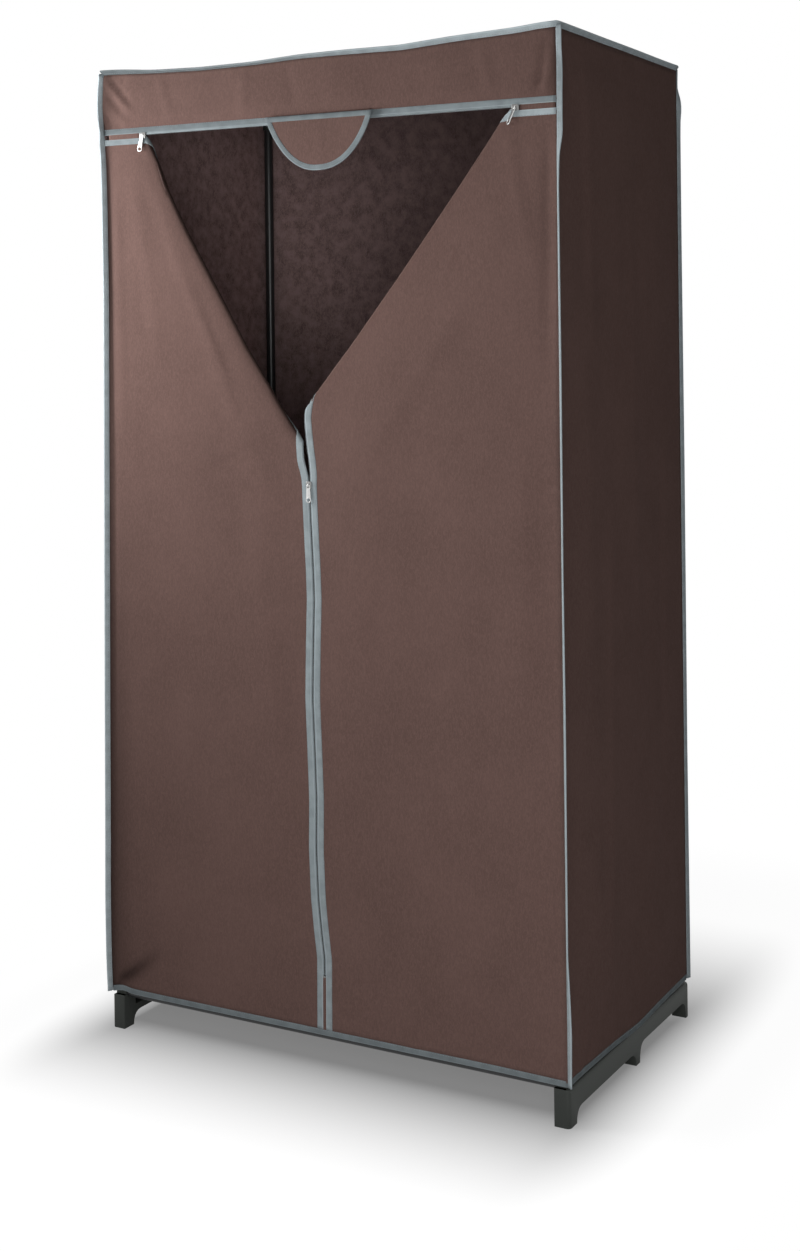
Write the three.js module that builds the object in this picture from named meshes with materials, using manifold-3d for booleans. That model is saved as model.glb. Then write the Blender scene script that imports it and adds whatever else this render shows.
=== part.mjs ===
// Portable fabric wardrobe: a tube frame on two moulded base rails, under a bound cloth cover
// whose two doors close with a long zip down the middle and a second zip under the valance.
// Millimetres, +Z up, +X to the right across the front, the front faces -Y.
// The origin is on the floor, at the middle of the footprint.

import * as THREE from 'three';
import { mergeVertices } from 'three/addons/utils/BufferGeometryUtils.js';
import Module from 'manifold-3d';

const wasm = await Module();
wasm.setup();

// General sizes
const GAP = 0.3;
const OVERRUN = 2;
const TURN = 2 * Math.PI;
const ROUND_SIDES = 16;

// Cover
const BODY_W = 830;
const BODY_D = 490;
const BODY_TOP = 1594;
const HEM_Z = 60;
const CLOTH = 1.2;
const FRONT_Y = -(BODY_D - CLOTH) / 2;
const WALL_TOP = BODY_TOP - CLOTH - GAP;

// Slow folds of the hanging cloth, flat where a binding grips its edge
const FLAT_EDGE = 18;
const DRAPE_RUN = 150;
const BILLOW = 4;
const RIPPLE = 2.4;
const RIPPLE_PITCH = 235;
const RIPPLE_LEAN_SHARE = 0.12;
const ROOF_SAG = 1.4;
const PANEL_COLUMNS = 9;
const PANEL_ROWS = 9;
const DOOR_COLUMNS = 7;

// Bindings: tape folded over the cloth's edge
const TAPE_W = 9;
const TAPE_T = 2.6;
const TAPE_GRIP = 5;
const HEM_TAPE_W = 12;
const FIN_W = 8;
const FIN_T = 2.4;

// Zips
const ZIP_FOOT_X = 2;
const ZIP_FOOT_RISE = 93;
const ZIP_FOOT_Z = HEM_Z + ZIP_FOOT_RISE;
const ZIP_TOP_X = -16;
const ZIP_TOP_DROP = 669;
const ZIP_TOP_Z = BODY_TOP - ZIP_TOP_DROP;
const TOP_ZIP_LEFT_DROP = 106;
const TOP_ZIP_LEFT_Z = BODY_TOP - TOP_ZIP_LEFT_DROP;
const TOP_ZIP_TILT = 8;
const TOP_ZIP_RIGHT_Z = TOP_ZIP_LEFT_Z - TOP_ZIP_TILT;
const CHAIN_W = 2.4;
const CHAIN_T = 2.4;
const CHAIN_SLIT = 1.8;
const ZIP_STOP_H = 3;

// Folded-back door corners: where each fold meets the zips, and how far the flap stands off the door
const LEFT_FOLD_IN = 90;
const LEFT_FOLD_DROP = 624;
const LEFT_FOLD_X = -BODY_W / 2 + LEFT_FOLD_IN;
const LEFT_FOLD_Z = BODY_TOP - LEFT_FOLD_DROP;
const LEFT_FLAP_STAND = THREE.MathUtils.degToRad(50);
const RIGHT_FOLD_IN = 74;
const RIGHT_FOLD_DROP = 554;
const RIGHT_FOLD_X = BODY_W / 2 - RIGHT_FOLD_IN;
const RIGHT_FOLD_Z = BODY_TOP - RIGHT_FOLD_DROP;
const RIGHT_FLAP_STAND = THREE.MathUtils.degToRad(40);

// Tab over the meeting of the zips
const TAB_X = 12;
const TAB_W = 191;
const TAB_H = 82;
const TAB_ROUNDNESS = 1.85;
const TAB_FORWARD = 8.2;
const TAB_ROOT_H = 4;
const TAB_STEPS = 24;

// Zip sliders and their pulls
const SLIDER_L = 12;
const SLIDER_W = 10;
const SLIDER_TAIL_W = 7.6;
const SLIDER_PLATE = 1.2;
const SLIDER_POST_L = 4;
const BAIL_L = 6.4;
const BAIL_H = 2.6;
const BAIL_W = 1.8;
const BAIL_BAR = 0.8;
const PULL_L = 28;
const PULL_W = 9;
const PULL_NECK_W = 6.6;
const PULL_T = 0.9;
const PULL_EYE_W = 3.2;
const PULL_EYE_L = 3.6;
const PULL_HOLE_R = 2.7;
const PULL_PIN = 0.9;
const SLIDER_BEFORE_FOLD = 7.5;
const LEFT_SLIDER_X = LEFT_FOLD_X - SLIDER_BEFORE_FOLD;
const RIGHT_SLIDER_X = RIGHT_FOLD_X + SLIDER_BEFORE_FOLD;
const CENTRE_SLIDER_DROP = 52;
const CENTRE_SLIDER_Z = LEFT_FOLD_Z - CENTRE_SLIDER_DROP;
const LEFT_PULL_LEAN = THREE.MathUtils.degToRad(13);
const RIGHT_PULL_LEAN = THREE.MathUtils.degToRad(22);

// Frame tubes
const TUBE_R = 8;
const TUBE_WALL = 1;
const FRAME_INSET = 14;
const FRAME_X = BODY_W / 2 - FRAME_INSET;
const FRAME_Y = BODY_D / 2 - FRAME_INSET;
const SWAGE_L = 40;
const UPRIGHT_JOINT_Z = 830;

// Moulded connectors
const SOCKET_R = 10.4;
const SOCKET_L = 34;
const SOCKET_FLOOR = 10;
const TOP_RAIL_Z = WALL_TOP - SOCKET_R;

// Moulded base rails with three feet each
const RAIL_W = 25;
const RAIL_PROUD = 2;
const RAIL_END_PROUD = 1;
const RAIL_X_OUT = BODY_W / 2 + RAIL_PROUD;
const RAIL_X_IN = RAIL_X_OUT - RAIL_W;
const RAIL_END_Y = BODY_D / 2 + RAIL_END_PROUD;
const RAIL_STEP_Z = 56;
const RAIL_TOP_Z = 74;
const RAIL_STEP_IN = 5;
const RAIL_WALL = 3;
const RIB_T = 2.5;
const RIB_PITCH = 41;
const FRONT_SPAN_Z = 21.5;
const REAR_SPAN_Z = 29.5;
const FRONT_FOOT_L = 25;
const REAR_FOOT_L = 14;
const MIDDLE_FOOT_L = 16;
const MIDDLE_FOOT_Y = 17;
const FOOT_CURVE = 20;
const BASE_TUBE_Z = 60;
const BASE_SOCKET_DEPTH = 15;
const UPRIGHT_SOCKET_Z = 73;
const UPRIGHT_SOCKET_TOP = 104;

// Cloth shelf over the base tubes
const SHELF_SIDE_GAP = 4;
const SHELF_ROUND_STEPS = 6;

// Materials
const finish = (color, roughness, metalness = 0) =>
  new THREE.MeshStandardMaterial({ color, roughness, metalness });
const clothFinish = finish('#5f4843', 0.95);
const tapeFinish = finish('#7f8b8f', 0.85);
const zipFinish = finish('#9aa3a6', 0.7);
const chromeFinish = finish('#d8dadb', 0.2, 1);
const tubeFinish = finish('#3a3b3c', 0.45, 0.6);
const mouldedFinish = finish('#2c2f2c', 0.7);

const group = new THREE.Group();

// Adds one named solid to the model, or to a turned group inside it
function add(name, geometry, material, parent = group) {
  const mesh = new THREE.Mesh(geometry, material);
  mesh.name = name;
  parent.add(mesh);
  return mesh;
}

// Solids for joining and cutting
function solid(geometry) {
  const bare = geometry.clone();
  bare.deleteAttribute('normal');
  bare.deleteAttribute('uv');
  const merged = mergeVertices(bare, GAP / 1000);
  return new wasm.Manifold(new wasm.Mesh({
    numProp: 3,
    vertProperties: new Float32Array(merged.attributes.position.array),
    triVerts: new Uint32Array(merged.index.array),
  }));
}

function geometryOf(manifold) {
  const mesh = manifold.getMesh();
  const geometry = new THREE.BufferGeometry();
  geometry.setAttribute('position', new THREE.BufferAttribute(mesh.vertProperties, 3));
  geometry.setIndex(new THREE.BufferAttribute(mesh.triVerts, 1));
  return geometry;
}

const joined = (...geometries) => geometries.map(solid).reduce((whole, next) => whole.add(next));
const cut = (whole, ...cutters) => cutters.map(solid).reduce((left, next) => left.subtract(next), whole);

// Turns a closed surface the right way out
function outward(geometry) {
  const p = geometry.attributes.position;
  const index = geometry.index.array;
  const [a, b, c] = [new THREE.Vector3(), new THREE.Vector3(), new THREE.Vector3()];
  let volume = 0;
  for (let i = 0; i < index.length; i += 3) {
    a.fromBufferAttribute(p, index[i]);
    b.fromBufferAttribute(p, index[i + 1]);
    c.fromBufferAttribute(p, index[i + 2]);
    volume += a.dot(b.cross(c));
  }
  if (volume < 0) {
    for (let i = 0; i < index.length; i += 3) {
      [index[i], index[i + 1]] = [index[i + 1], index[i]];
    }
  }
  return geometry;
}

// A plate of an outline drawn in X and Z, centred on the cloth of the front
function slab(outline, thickness, y = FRONT_Y) {
  const shape = outline instanceof THREE.Shape ? outline : new THREE.Shape(outline);
  const plate = new THREE.ExtrudeGeometry(shape, { depth: thickness, bevelEnabled: false });
  plate.rotateX(Math.PI / 2);
  plate.translate(0, y + thickness / 2, 0);
  return plate;
}

const block = (x0, x1, y0, y1, z0, z1) =>
  new THREE.BoxGeometry(x1 - x0, y1 - y0, z1 - z0).translate((x0 + x1) / 2, (y0 + y1) / 2, (z0 + z1) / 2);

// Straight lines in the front, as a point and a direction
const line = (x, z, dx, dz) => ({ at: new THREE.Vector2(x, z), along: new THREE.Vector2(dx, dz).normalize() });
const across = (l) => new THREE.Vector2(-l.along.y, l.along.x);
const beside = (l, distance) => ({ at: l.at.clone().addScaledVector(across(l), distance), along: l.along });
const level = (z) => line(0, z, 1, 0);
const plumb = (x) => line(x, 0, 0, 1);

function meet(l, m) {
  const between = m.at.clone().sub(l.at);
  const turn = l.along.cross(m.along);
  return l.at.clone().addScaledVector(l.along, between.cross(m.along) / turn);
}

// The strip between two lines, ended by two others
const strip = (near, far, start, end) => [meet(near, start), meet(far, start), meet(far, end), meet(near, end)];

const zipLine = line(ZIP_FOOT_X, ZIP_FOOT_Z, ZIP_TOP_X - ZIP_FOOT_X, ZIP_TOP_Z - ZIP_FOOT_Z);
const topZipLine = line(-BODY_W / 2, TOP_ZIP_LEFT_Z, BODY_W, TOP_ZIP_RIGHT_Z - TOP_ZIP_LEFT_Z);
const zipLean = Math.atan2(zipLine.along.x, zipLine.along.y);
const topZipLean = Math.atan2(-topZipLine.along.y, topZipLine.along.x);

function foldLine(foldX, foldZ) {
  const top = meet(plumb(foldX), topZipLine);
  const foot = meet(level(foldZ), zipLine);
  return line(top.x, top.y, foot.x - top.x, foot.y - top.y);
}

// Where the parts of a zip lie, counted from its middle
const CHAIN_NEAR = CHAIN_SLIT / 2;
const CHAIN_FAR = CHAIN_NEAR + CHAIN_W;
const TAPE_NEAR = CHAIN_FAR + GAP;
const TAPE_FAR = TAPE_NEAR + TAPE_W;
const CLOTH_NEAR = TAPE_FAR - TAPE_GRIP;
const HEM_TAPE_TOP = HEM_Z + HEM_TAPE_W;
const CLOTH_HEM_Z = HEM_TAPE_TOP - TAPE_GRIP;
const SLOT_T = CLOTH + 2 * GAP;
const FRONT_END_X = BODY_W / 2 - CLOTH - GAP;

// Room beside a fold so that sheets of one thickness clear each other at that angle
const foldRoom = (thickness, angle) =>
  (GAP / 2 + (thickness / 2) * Math.cos(angle / 2)) / Math.sin(angle / 2);

// Places from one end to the other, with the first and last step a set distance from the ends
function spread(from, to, edge, steps) {
  const inner = THREE.MathUtils.clamp(edge, 0, Math.abs(to - from) / 4) * Math.sign(to - from);
  const places = [from];
  for (let i = 0; i <= steps; i++) {
    places.push(THREE.MathUtils.lerp(from + inner, to - inner, i / steps));
  }
  return [...places, to];
}

// How freely the cloth hangs at a distance from its held edge, from 0 to 1
const freedom = (distance) => THREE.MathUtils.smoothstep(distance, FLAT_EDGE, FLAT_EDGE + DRAPE_RUN);

// Proud of its plane by a slow billow and leaning ripples
function drape(a, b, held) {
  const free = held.reduce((product, distance) => product * freedom(distance), 1);
  const ripple = Math.cos((TURN * (a + RIPPLE_LEAN_SHARE * b)) / RIPPLE_PITCH);
  return free * (BILLOW + RIPPLE * ripple);
}

// A closed sheet of cloth over rows of points, each row running from its left to its right point
function sheet(left, right, columns, place) {
  const rows = left.length;
  const wide = columns + 3;
  const points = [];
  for (const side of [-CLOTH / 2, CLOTH / 2]) {
    for (let r = 0; r < rows; r++) {
      const length = left[r].distanceTo(right[r]);
      for (const run of spread(0, length, FLAT_EDGE, columns)) {
        const at = left[r].clone().lerp(right[r], run / length);
        points.push(...place(at.x, at.y, side));
      }
    }
  }
  const index = [];
  const layer = rows * wide;
  const quad = (a, b, c, d) => index.push(a, b, c, a, c, d);
  for (let r = 0; r + 1 < rows; r++) {
    for (let c = 0; c + 1 < wide; c++) {
      const a = r * wide + c;
      quad(a, a + 1, a + wide + 1, a + wide);
      quad(layer + a, layer + a + wide, layer + a + wide + 1, layer + a + 1);
    }
    const [first, last] = [r * wide, r * wide + wide - 1];
    quad(first, first + wide, layer + first + wide, layer + first);
    quad(last, layer + last, layer + last + wide, last + wide);
  }
  for (let c = 0; c + 1 < wide; c++) {
    const top = (rows - 1) * wide + c;
    quad(c, layer + c, layer + c + 1, c + 1);
    quad(top, top + 1, layer + top + 1, layer + top);
  }
  const geometry = new THREE.BufferGeometry();
  geometry.setAttribute('position', new THREE.Float32BufferAttribute(points, 3));
  geometry.setIndex(index);
  return outward(geometry);
}

// A rectangular panel between two corners of its own plane
function panel(a0, a1, b0, b1, place) {
  const rows = spread(b0, b1, FLAT_EDGE, PANEL_ROWS);
  return sheet(
    rows.map((b) => new THREE.Vector2(a0, b)),
    rows.map((b) => new THREE.Vector2(a1, b)),
    PANEL_COLUMNS,
    place,
  );
}

function makeWalls() {
  const halfW = BODY_W / 2;
  const sideEnd = BODY_D / 2 - CLOTH - GAP;
  const heldAll = (a, b, half, low, high) => [half - Math.abs(a), b - low, high - b];
  for (const [name, way] of [['left_side', -1], ['right_side', 1]]) {
    add(name, panel(-sideEnd, sideEnd, CLOTH_HEM_Z, WALL_TOP, (y, z, side) => {
      const proud = drape(y, z, heldAll(y, z, sideEnd, CLOTH_HEM_Z, WALL_TOP));
      return [way * (halfW - CLOTH / 2 + proud + side), y, z];
    }), clothFinish);
  }
  add('back_panel', panel(-halfW, halfW, CLOTH_HEM_Z, WALL_TOP, (x, z, side) => {
    const proud = drape(x, z, heldAll(x, z, halfW, CLOTH_HEM_Z, WALL_TOP));
    return [x, BODY_D / 2 - CLOTH / 2 + proud + side, z];
  }), clothFinish);
  add('roof', panel(-halfW, halfW, -BODY_D / 2, BODY_D / 2, (x, y, side) => {
    const sag = ROOF_SAG * freedom(halfW - Math.abs(x)) * freedom(BODY_D / 2 - Math.abs(y));
    return [x, y, BODY_TOP - CLOTH / 2 - sag + side];
  }), clothFinish);
}

function makeValance() {
  const foot = beside(topZipLine, CLOTH_NEAR);
  const ends = [-BODY_W / 2, BODY_W / 2].map((x) => meet(plumb(x), foot));
  const rows = [0, ...spread(0, 1, 1 / PANEL_COLUMNS, 2).slice(1, -1), 1];
  const rise = (end) => rows.map((share) => new THREE.Vector2(end.x, THREE.MathUtils.lerp(end.y, WALL_TOP, share)));
  add('valance', sheet(rise(ends[0]), rise(ends[1]), PANEL_COLUMNS, (x, z, side) => {
    return [x, FRONT_Y + side, z];
  }), clothFinish);

  const [near, far] = [beside(topZipLine, TAPE_NEAR), beside(topZipLine, TAPE_FAR)];
  const [leftEnd, rightEnd] = [plumb(-FRONT_END_X), plumb(FRONT_END_X)];
  const slot = strip(
    beside(topZipLine, CLOTH_NEAR - GAP),
    beside(topZipLine, TAPE_FAR + OVERRUN),
    plumb(-BODY_W / 2),
    plumb(BODY_W / 2),
  );
  const tape = cut(solid(slab(strip(near, far, leftEnd, rightEnd), TAPE_T)), slab(slot, SLOT_T));
  add('valance_binding', geometryOf(tape), tapeFinish);

  const chain = strip(beside(topZipLine, CHAIN_NEAR), beside(topZipLine, CHAIN_FAR), leftEnd, rightEnd);
  add('top_zip', slab(chain, CHAIN_T), zipFinish);
}

// One door with its bindings, and the corner of it that is folded back on the fold line
function makeDoor(way, foldX, foldZ, stand) {
  const name = way < 0 ? 'left' : 'right';
  const fold = foldLine(foldX, foldZ);
  const zip = (distance) => beside(zipLine, -way * distance);
  const top = (distance) => beside(topZipLine, -distance);
  const doorFold = (thickness) => beside(fold, (way < 0 ? -1 : 1) * foldRoom(thickness, stand));
  const flapFold = (thickness) => beside(fold, (way < 0 ? 1 : -1) * foldRoom(thickness, stand));
  const outer = plumb((way * BODY_W) / 2);
  const tapeEnd = plumb(way * FRONT_END_X);

  // Door cloth
  const edge = doorFold(CLOTH);
  const bend = meet(zip(CLOTH_NEAR), edge);
  const corner = meet(top(CLOTH_NEAR), edge);
  const outerTop = meet(outer, top(CLOTH_NEAR));
  const lower = spread(CLOTH_HEM_Z, bend.y, FLAT_EDGE, PANEL_ROWS - 2).slice(0, -2);
  const upper = spread(0, 1, FLAT_EDGE / (corner.y - bend.y), PANEL_ROWS - 5).slice(2);
  const innerRows = [
    ...lower.map((z) => meet(zip(CLOTH_NEAR), level(z))),
    bend,
    ...upper.map((share) => bend.clone().lerp(corner, share)),
  ];
  const outerRows = [
    ...lower.map((z) => new THREE.Vector2((way * BODY_W) / 2, z)),
    new THREE.Vector2((way * BODY_W) / 2, bend.y),
    ...upper.map((share) => new THREE.Vector2((way * BODY_W) / 2, THREE.MathUtils.lerp(bend.y, outerTop.y, share))),
  ];
  const off = (l, x, z) => Math.abs(new THREE.Vector2(x, z).sub(l.at).cross(l.along));
  add(`${name}_door`, sheet(outerRows, innerRows, DOOR_COLUMNS, (x, z, side) => {
    const held = [off(outer, x, z), off(zip(CLOTH_NEAR), x, z), off(edge, x, z), z - CLOTH_HEM_Z, outerTop.y - z];
    return [x, FRONT_Y - drape(x, z, held) + side, z];
  }), clothFinish);

  // Bindings up the zip and along the top
  const tapeFold = doorFold(TAPE_T);
  const tapeFoot = level(HEM_TAPE_TOP + GAP);
  const zipTape = slab(strip(zip(TAPE_NEAR), zip(TAPE_FAR), tapeFoot, tapeFold), TAPE_T);
  const zipSlot = slab(strip(zip(CLOTH_NEAR - GAP), zip(TAPE_FAR + OVERRUN), level(HEM_Z), fold), SLOT_T);
  add(`${name}_door_zip_binding`, geometryOf(cut(solid(zipTape), zipSlot)), tapeFinish);
  const topTape = slab(strip(top(TAPE_NEAR), top(TAPE_FAR), tapeEnd, tapeFold), TAPE_T);
  const topSlot = slab(strip(top(CLOTH_NEAR - GAP), top(TAPE_FAR + OVERRUN), outer, fold), SLOT_T);
  const topChain = slab(strip(top(CHAIN_NEAR), top(TAPE_NEAR + GAP), tapeEnd, tapeFold), CHAIN_T);
  add(`${name}_door_top_binding`, geometryOf(cut(solid(topTape), topSlot).add(solid(topChain))), tapeFinish);

  makeFlap(name, way, fold, stand, zip, top, flapFold);
  return strip(zip(CHAIN_NEAR), zip(CHAIN_FAR), level(ZIP_FOOT_Z), tapeFold);
}

// The folded corner, drawn closed in the plane of the door and then turned back about its fold
function makeFlap(name, way, fold, stand, zip, top, flapFold) {
  const hinge = new THREE.Group();
  const axis = new THREE.Vector3(fold.along.x, 0, fold.along.y);
  const root = new THREE.Vector3(fold.at.x, FRONT_Y, fold.at.y);
  hinge.position.copy(root);
  hinge.quaternion.setFromAxisAngle(axis, way * (Math.PI - stand));
  group.add(hinge);
  const bring = (geometry) => geometry.translate(-root.x, -root.y, -root.z);

  const clothAt = (distance, f) => [
    meet(top(distance), f),
    meet(top(distance), zip(distance)),
    meet(zip(distance), f),
  ];
  const bent = (near, far, f) => [
    ...clothAt(near, f),
    ...clothAt(far, f).reverse(),
  ];
  add(`${name}_flap`, bring(slab(clothAt(CLOTH_NEAR, flapFold(CLOTH)), CLOTH)), clothFinish, hinge);
  const tape = solid(slab(bent(TAPE_NEAR, TAPE_FAR, flapFold(TAPE_T)), TAPE_T));
  const slot = slab(clothAt(CLOTH_NEAR - GAP, fold), SLOT_T);
  const chain = solid(slab(bent(CHAIN_NEAR, TAPE_NEAR + GAP, flapFold(TAPE_T)), CHAIN_T));
  add(`${name}_flap_binding`, bring(geometryOf(cut(tape, slot).add(chain))), tapeFinish, hinge);
}

// The two rows of the middle zip, joined at their foot
function makeCentreZip(leftRow, rightRow) {
  const foot = strip(
    beside(zipLine, CHAIN_FAR),
    beside(zipLine, -CHAIN_FAR),
    level(ZIP_FOOT_Z - ZIP_STOP_H),
    level(ZIP_FOOT_Z + GAP),
  );
  add('centre_zip', geometryOf(joined(
    slab(leftRow, CHAIN_T),
    slab(rightRow, CHAIN_T),
    slab(foot, CHAIN_T),
  )), zipFinish);
}

// Folded tape standing off each upright corner, and the ring of it round the roof
function makeCornerBindings() {
  const low = HEM_TAPE_TOP + GAP;
  const high = BODY_TOP - FIN_T;
  const reach = GAP + FIN_W / 2;
  for (const [name, sx, sy] of [
    ['front_left', -1, -1],
    ['front_right', 1, -1],
    ['back_left', -1, 1],
    ['back_right', 1, 1],
  ]) {
    const fin = add(`corner_binding_${name}`, new THREE.BoxGeometry(FIN_W, FIN_T, high - low), tapeFinish);
    fin.position.set(
      sx * (BODY_W / 2 + reach * Math.SQRT1_2),
      sy * (BODY_D / 2 + reach * Math.SQRT1_2),
      (low + high) / 2,
    );
    fin.rotation.z = Math.atan2(sy, sx);
  }
  const section = [[0, -1], [1, -1], [1, 1], [0, 1]].map(([run, side]) => {
    const out = GAP + run * FIN_W;
    const half = (side * FIN_T) / 2;
    return [(out + half) * Math.SQRT1_2, (out - half) * Math.SQRT1_2];
  });
  const corners = [[-1, -1], [1, -1], [1, 1], [-1, 1]];
  const points = corners.flatMap(([sx, sy]) => section.flatMap(([out, rise]) => [
    sx * (BODY_W / 2 + out),
    sy * (BODY_D / 2 + out),
    BODY_TOP + rise,
  ]));
  const ring = new THREE.BufferGeometry();
  ring.setAttribute('position', new THREE.Float32BufferAttribute(points, 3));
  const index = [];
  const sides = section.length;
  corners.forEach((_, c) => section.forEach((__, s) => {
    const next = (c + 1) % corners.length;
    const [a, b] = [c * sides + s, c * sides + ((s + 1) % sides)];
    const [d, e] = [next * sides + s, next * sides + ((s + 1) % sides)];
    index.push(a, d, e, a, e, b);
  }));
  ring.setIndex(index);
  add('top_binding', outward(ring), tapeFinish);
}

// A rectangular ring of one wall thickness, standing on a height
function wallRing(outside, inside, low, high) {
  const box = (inset) => {
    const [x, y] = [BODY_W / 2 - inset, BODY_D / 2 - inset];
    return [new THREE.Vector2(-x, -y), new THREE.Vector2(x, -y), new THREE.Vector2(x, y), new THREE.Vector2(-x, y)];
  };
  const shape = new THREE.Shape(box(outside));
  shape.holes.push(new THREE.Path(box(inside)));
  return new THREE.ExtrudeGeometry(shape, { depth: high - low, bevelEnabled: false }).translate(0, 0, low);
}

function makeHemBinding() {
  const proud = (TAPE_T - CLOTH) / 2;
  const tape = wallRing(-proud, CLOTH + proud, HEM_Z, HEM_TAPE_TOP);
  const slot = wallRing(-GAP, CLOTH + GAP, CLOTH_HEM_Z - GAP, HEM_TAPE_TOP + OVERRUN);
  add('hem_binding', geometryOf(cut(solid(tape), slot)), tapeFinish);
}

// Outline of the tab, pulled in by a distance and carried up by a rise
function tabOutline(inset, rise = 0) {
  const [halfW, depth] = [TAB_W / 2 - inset, TAB_H - inset];
  const outline = [];
  for (let i = 0; i <= TAB_STEPS; i++) {
    const angle = (Math.PI * i) / TAB_STEPS;
    const bend = (value) => Math.sign(value) * Math.abs(value) ** (2 / TAB_ROUNDNESS);
    outline.push(new THREE.Vector2(TAB_X - halfW * bend(Math.cos(angle)), -depth * bend(Math.sin(angle))));
  }
  const lid = [TAB_X + halfW, TAB_X - halfW].map((x) => new THREE.Vector2(x, rise));
  return rise > 0 ? [...outline, ...lid] : outline;
}

// The tab hangs clear of the sliders that pass behind it, from a root on the valance binding
function makeTab() {
  const hangZ = meet(plumb(TAB_X), beside(topZipLine, SLIDER_W / 2 + GAP)).y;
  const rootY = FRONT_Y - TAPE_T / 2 - GAP - CLOTH / 2;
  const hangY = FRONT_Y - TAB_FORWARD;
  const hang = new THREE.Group();
  hang.position.set(0, 0, hangZ);
  group.add(hang);

  const clothInset = TAPE_W - TAPE_GRIP;
  const lipTop = GAP + CLOTH;
  const cloth = slab(tabOutline(clothInset, lipTop), CLOTH, hangY);
  const [x0, x1] = [-1, 1].map((way) => TAB_X + way * (TAB_W / 2 - clothInset));
  const lip = block(x0, x1, hangY, rootY, GAP, lipTop);
  const root = block(x0, x1, rootY - CLOTH / 2, rootY + CLOTH / 2, GAP, GAP + TAB_ROOT_H);
  add('tab', geometryOf(joined(cloth, lip, root)), clothFinish, hang);

  const tape = cut(
    solid(slab(tabOutline(0), TAPE_T, hangY)),
    slab(tabOutline(TAPE_W, OVERRUN), TAPE_T + OVERRUN, hangY),
    slab(tabOutline(clothInset - GAP, OVERRUN), SLOT_T, hangY),
  );
  add('tab_binding', geometryOf(tape), tapeFinish, hang);
}

// Slider: two plates either side of the zip, joined by a post between its open rows.
// Drawn closing upwards along Z, with its front to -Y and the zip at the origin.
function sliderBody(bailTurn) {
  const [half, tail, end] = [SLIDER_W / 2, SLIDER_TAIL_W / 2, SLIDER_L / 2];
  const outline = new THREE.Shape();
  outline.moveTo(-tail, -end);
  outline.lineTo(tail, -end);
  outline.quadraticCurveTo(half, -end / 2, half, end / 2);
  outline.quadraticCurveTo(half, end, half / 2, end);
  outline.lineTo(-half / 2, end);
  outline.quadraticCurveTo(-half, end, -half, end / 2);
  outline.quadraticCurveTo(-half, -end / 2, -tail, -end);
  const inner = TAPE_T / 2 + GAP;
  const plateY = inner + SLIDER_PLATE / 2;
  const front = slab(outline, SLIDER_PLATE, -plateY);
  const back = slab(outline, SLIDER_PLATE, plateY);
  const postHalf = CHAIN_NEAR - GAP;
  const post = slab([
    new THREE.Vector2(0, end - SLIDER_POST_L),
    new THREE.Vector2(postHalf, end - SLIDER_POST_L / 2),
    new THREE.Vector2(postHalf, end),
    new THREE.Vector2(-postHalf, end),
    new THREE.Vector2(-postHalf, end - SLIDER_POST_L / 2),
  ], 2 * plateY, 0);
  const arch = new THREE.BoxGeometry(BAIL_W, BAIL_H, BAIL_L);
  const opening = new THREE.BoxGeometry(BAIL_W + OVERRUN, BAIL_H, BAIL_L - 2 * BAIL_BAR).translate(0, BAIL_BAR, 0);
  const bail = geometryOf(cut(solid(arch), opening));
  bail.translate(0, -(inner + SLIDER_PLATE + BAIL_H / 2) + GAP / 2, 0);
  bail.rotateY(bailTurn);
  return geometryOf(joined(front, back, post, bail));
}

// Distance of the pull's pin in front of the middle of the cloth
const PULL_Y = TAPE_T / 2 + GAP + SLIDER_PLATE + (BAIL_H - BAIL_BAR) / 2;

// Pull: an eye whose pin runs under the bail, a neck and a round end with a hole, hanging along -Z
function pullBody() {
  const [neck, half, pin] = [PULL_NECK_W / 2, PULL_W / 2, PULL_PIN / 2];
  const roundZ = pin - PULL_L + half;
  const outline = new THREE.Shape();
  outline.moveTo(-neck, pin);
  outline.quadraticCurveTo(-neck, roundZ / 2, -half, roundZ);
  outline.absarc(0, roundZ, half, Math.PI, TURN, false);
  outline.quadraticCurveTo(neck, roundZ / 2, neck, pin);
  const eye = [[-1, -pin], [-1, -pin - PULL_EYE_L], [1, -pin - PULL_EYE_L], [1, -pin]];
  outline.holes.push(new THREE.Path(eye.map(([side, z]) => new THREE.Vector2((side * PULL_EYE_W) / 2, z))));
  const hole = new THREE.Path();
  hole.absarc(0, roundZ, PULL_HOLE_R, 0, TURN, true);
  outline.holes.push(hole);
  const plate = new THREE.ExtrudeGeometry(outline, { depth: PULL_T, bevelEnabled: false, curveSegments: 6 });
  return plate.rotateX(Math.PI / 2).translate(0, PULL_T / 2, 0);
}

// One slider on its zip, with its pull hanging from the bail
function makeSlider(name, at, travel, pullLean) {
  const place = new THREE.Group();
  place.position.set(at.x, FRONT_Y, at.y);
  place.rotation.y = travel;
  group.add(place);
  add(`${name}_slider`, sliderBody(pullLean - travel), chromeFinish, place);
  const hanging = new THREE.Group();
  hanging.position.set(at.x, FRONT_Y - PULL_Y, at.y);
  hanging.rotation.y = pullLean;
  group.add(hanging);
  add(`${name}_pull`, pullBody(), chromeFinish, hanging);
}

function makeSliders() {
  makeSlider('centre', meet(zipLine, level(CENTRE_SLIDER_Z)), zipLean, 0);
  makeSlider('left', meet(topZipLine, plumb(LEFT_SLIDER_X)), Math.PI / 2 + topZipLean, LEFT_PULL_LEAN);
  makeSlider('right', meet(topZipLine, plumb(RIGHT_SLIDER_X)), topZipLean - Math.PI / 2, RIGHT_PULL_LEAN);
}

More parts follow.
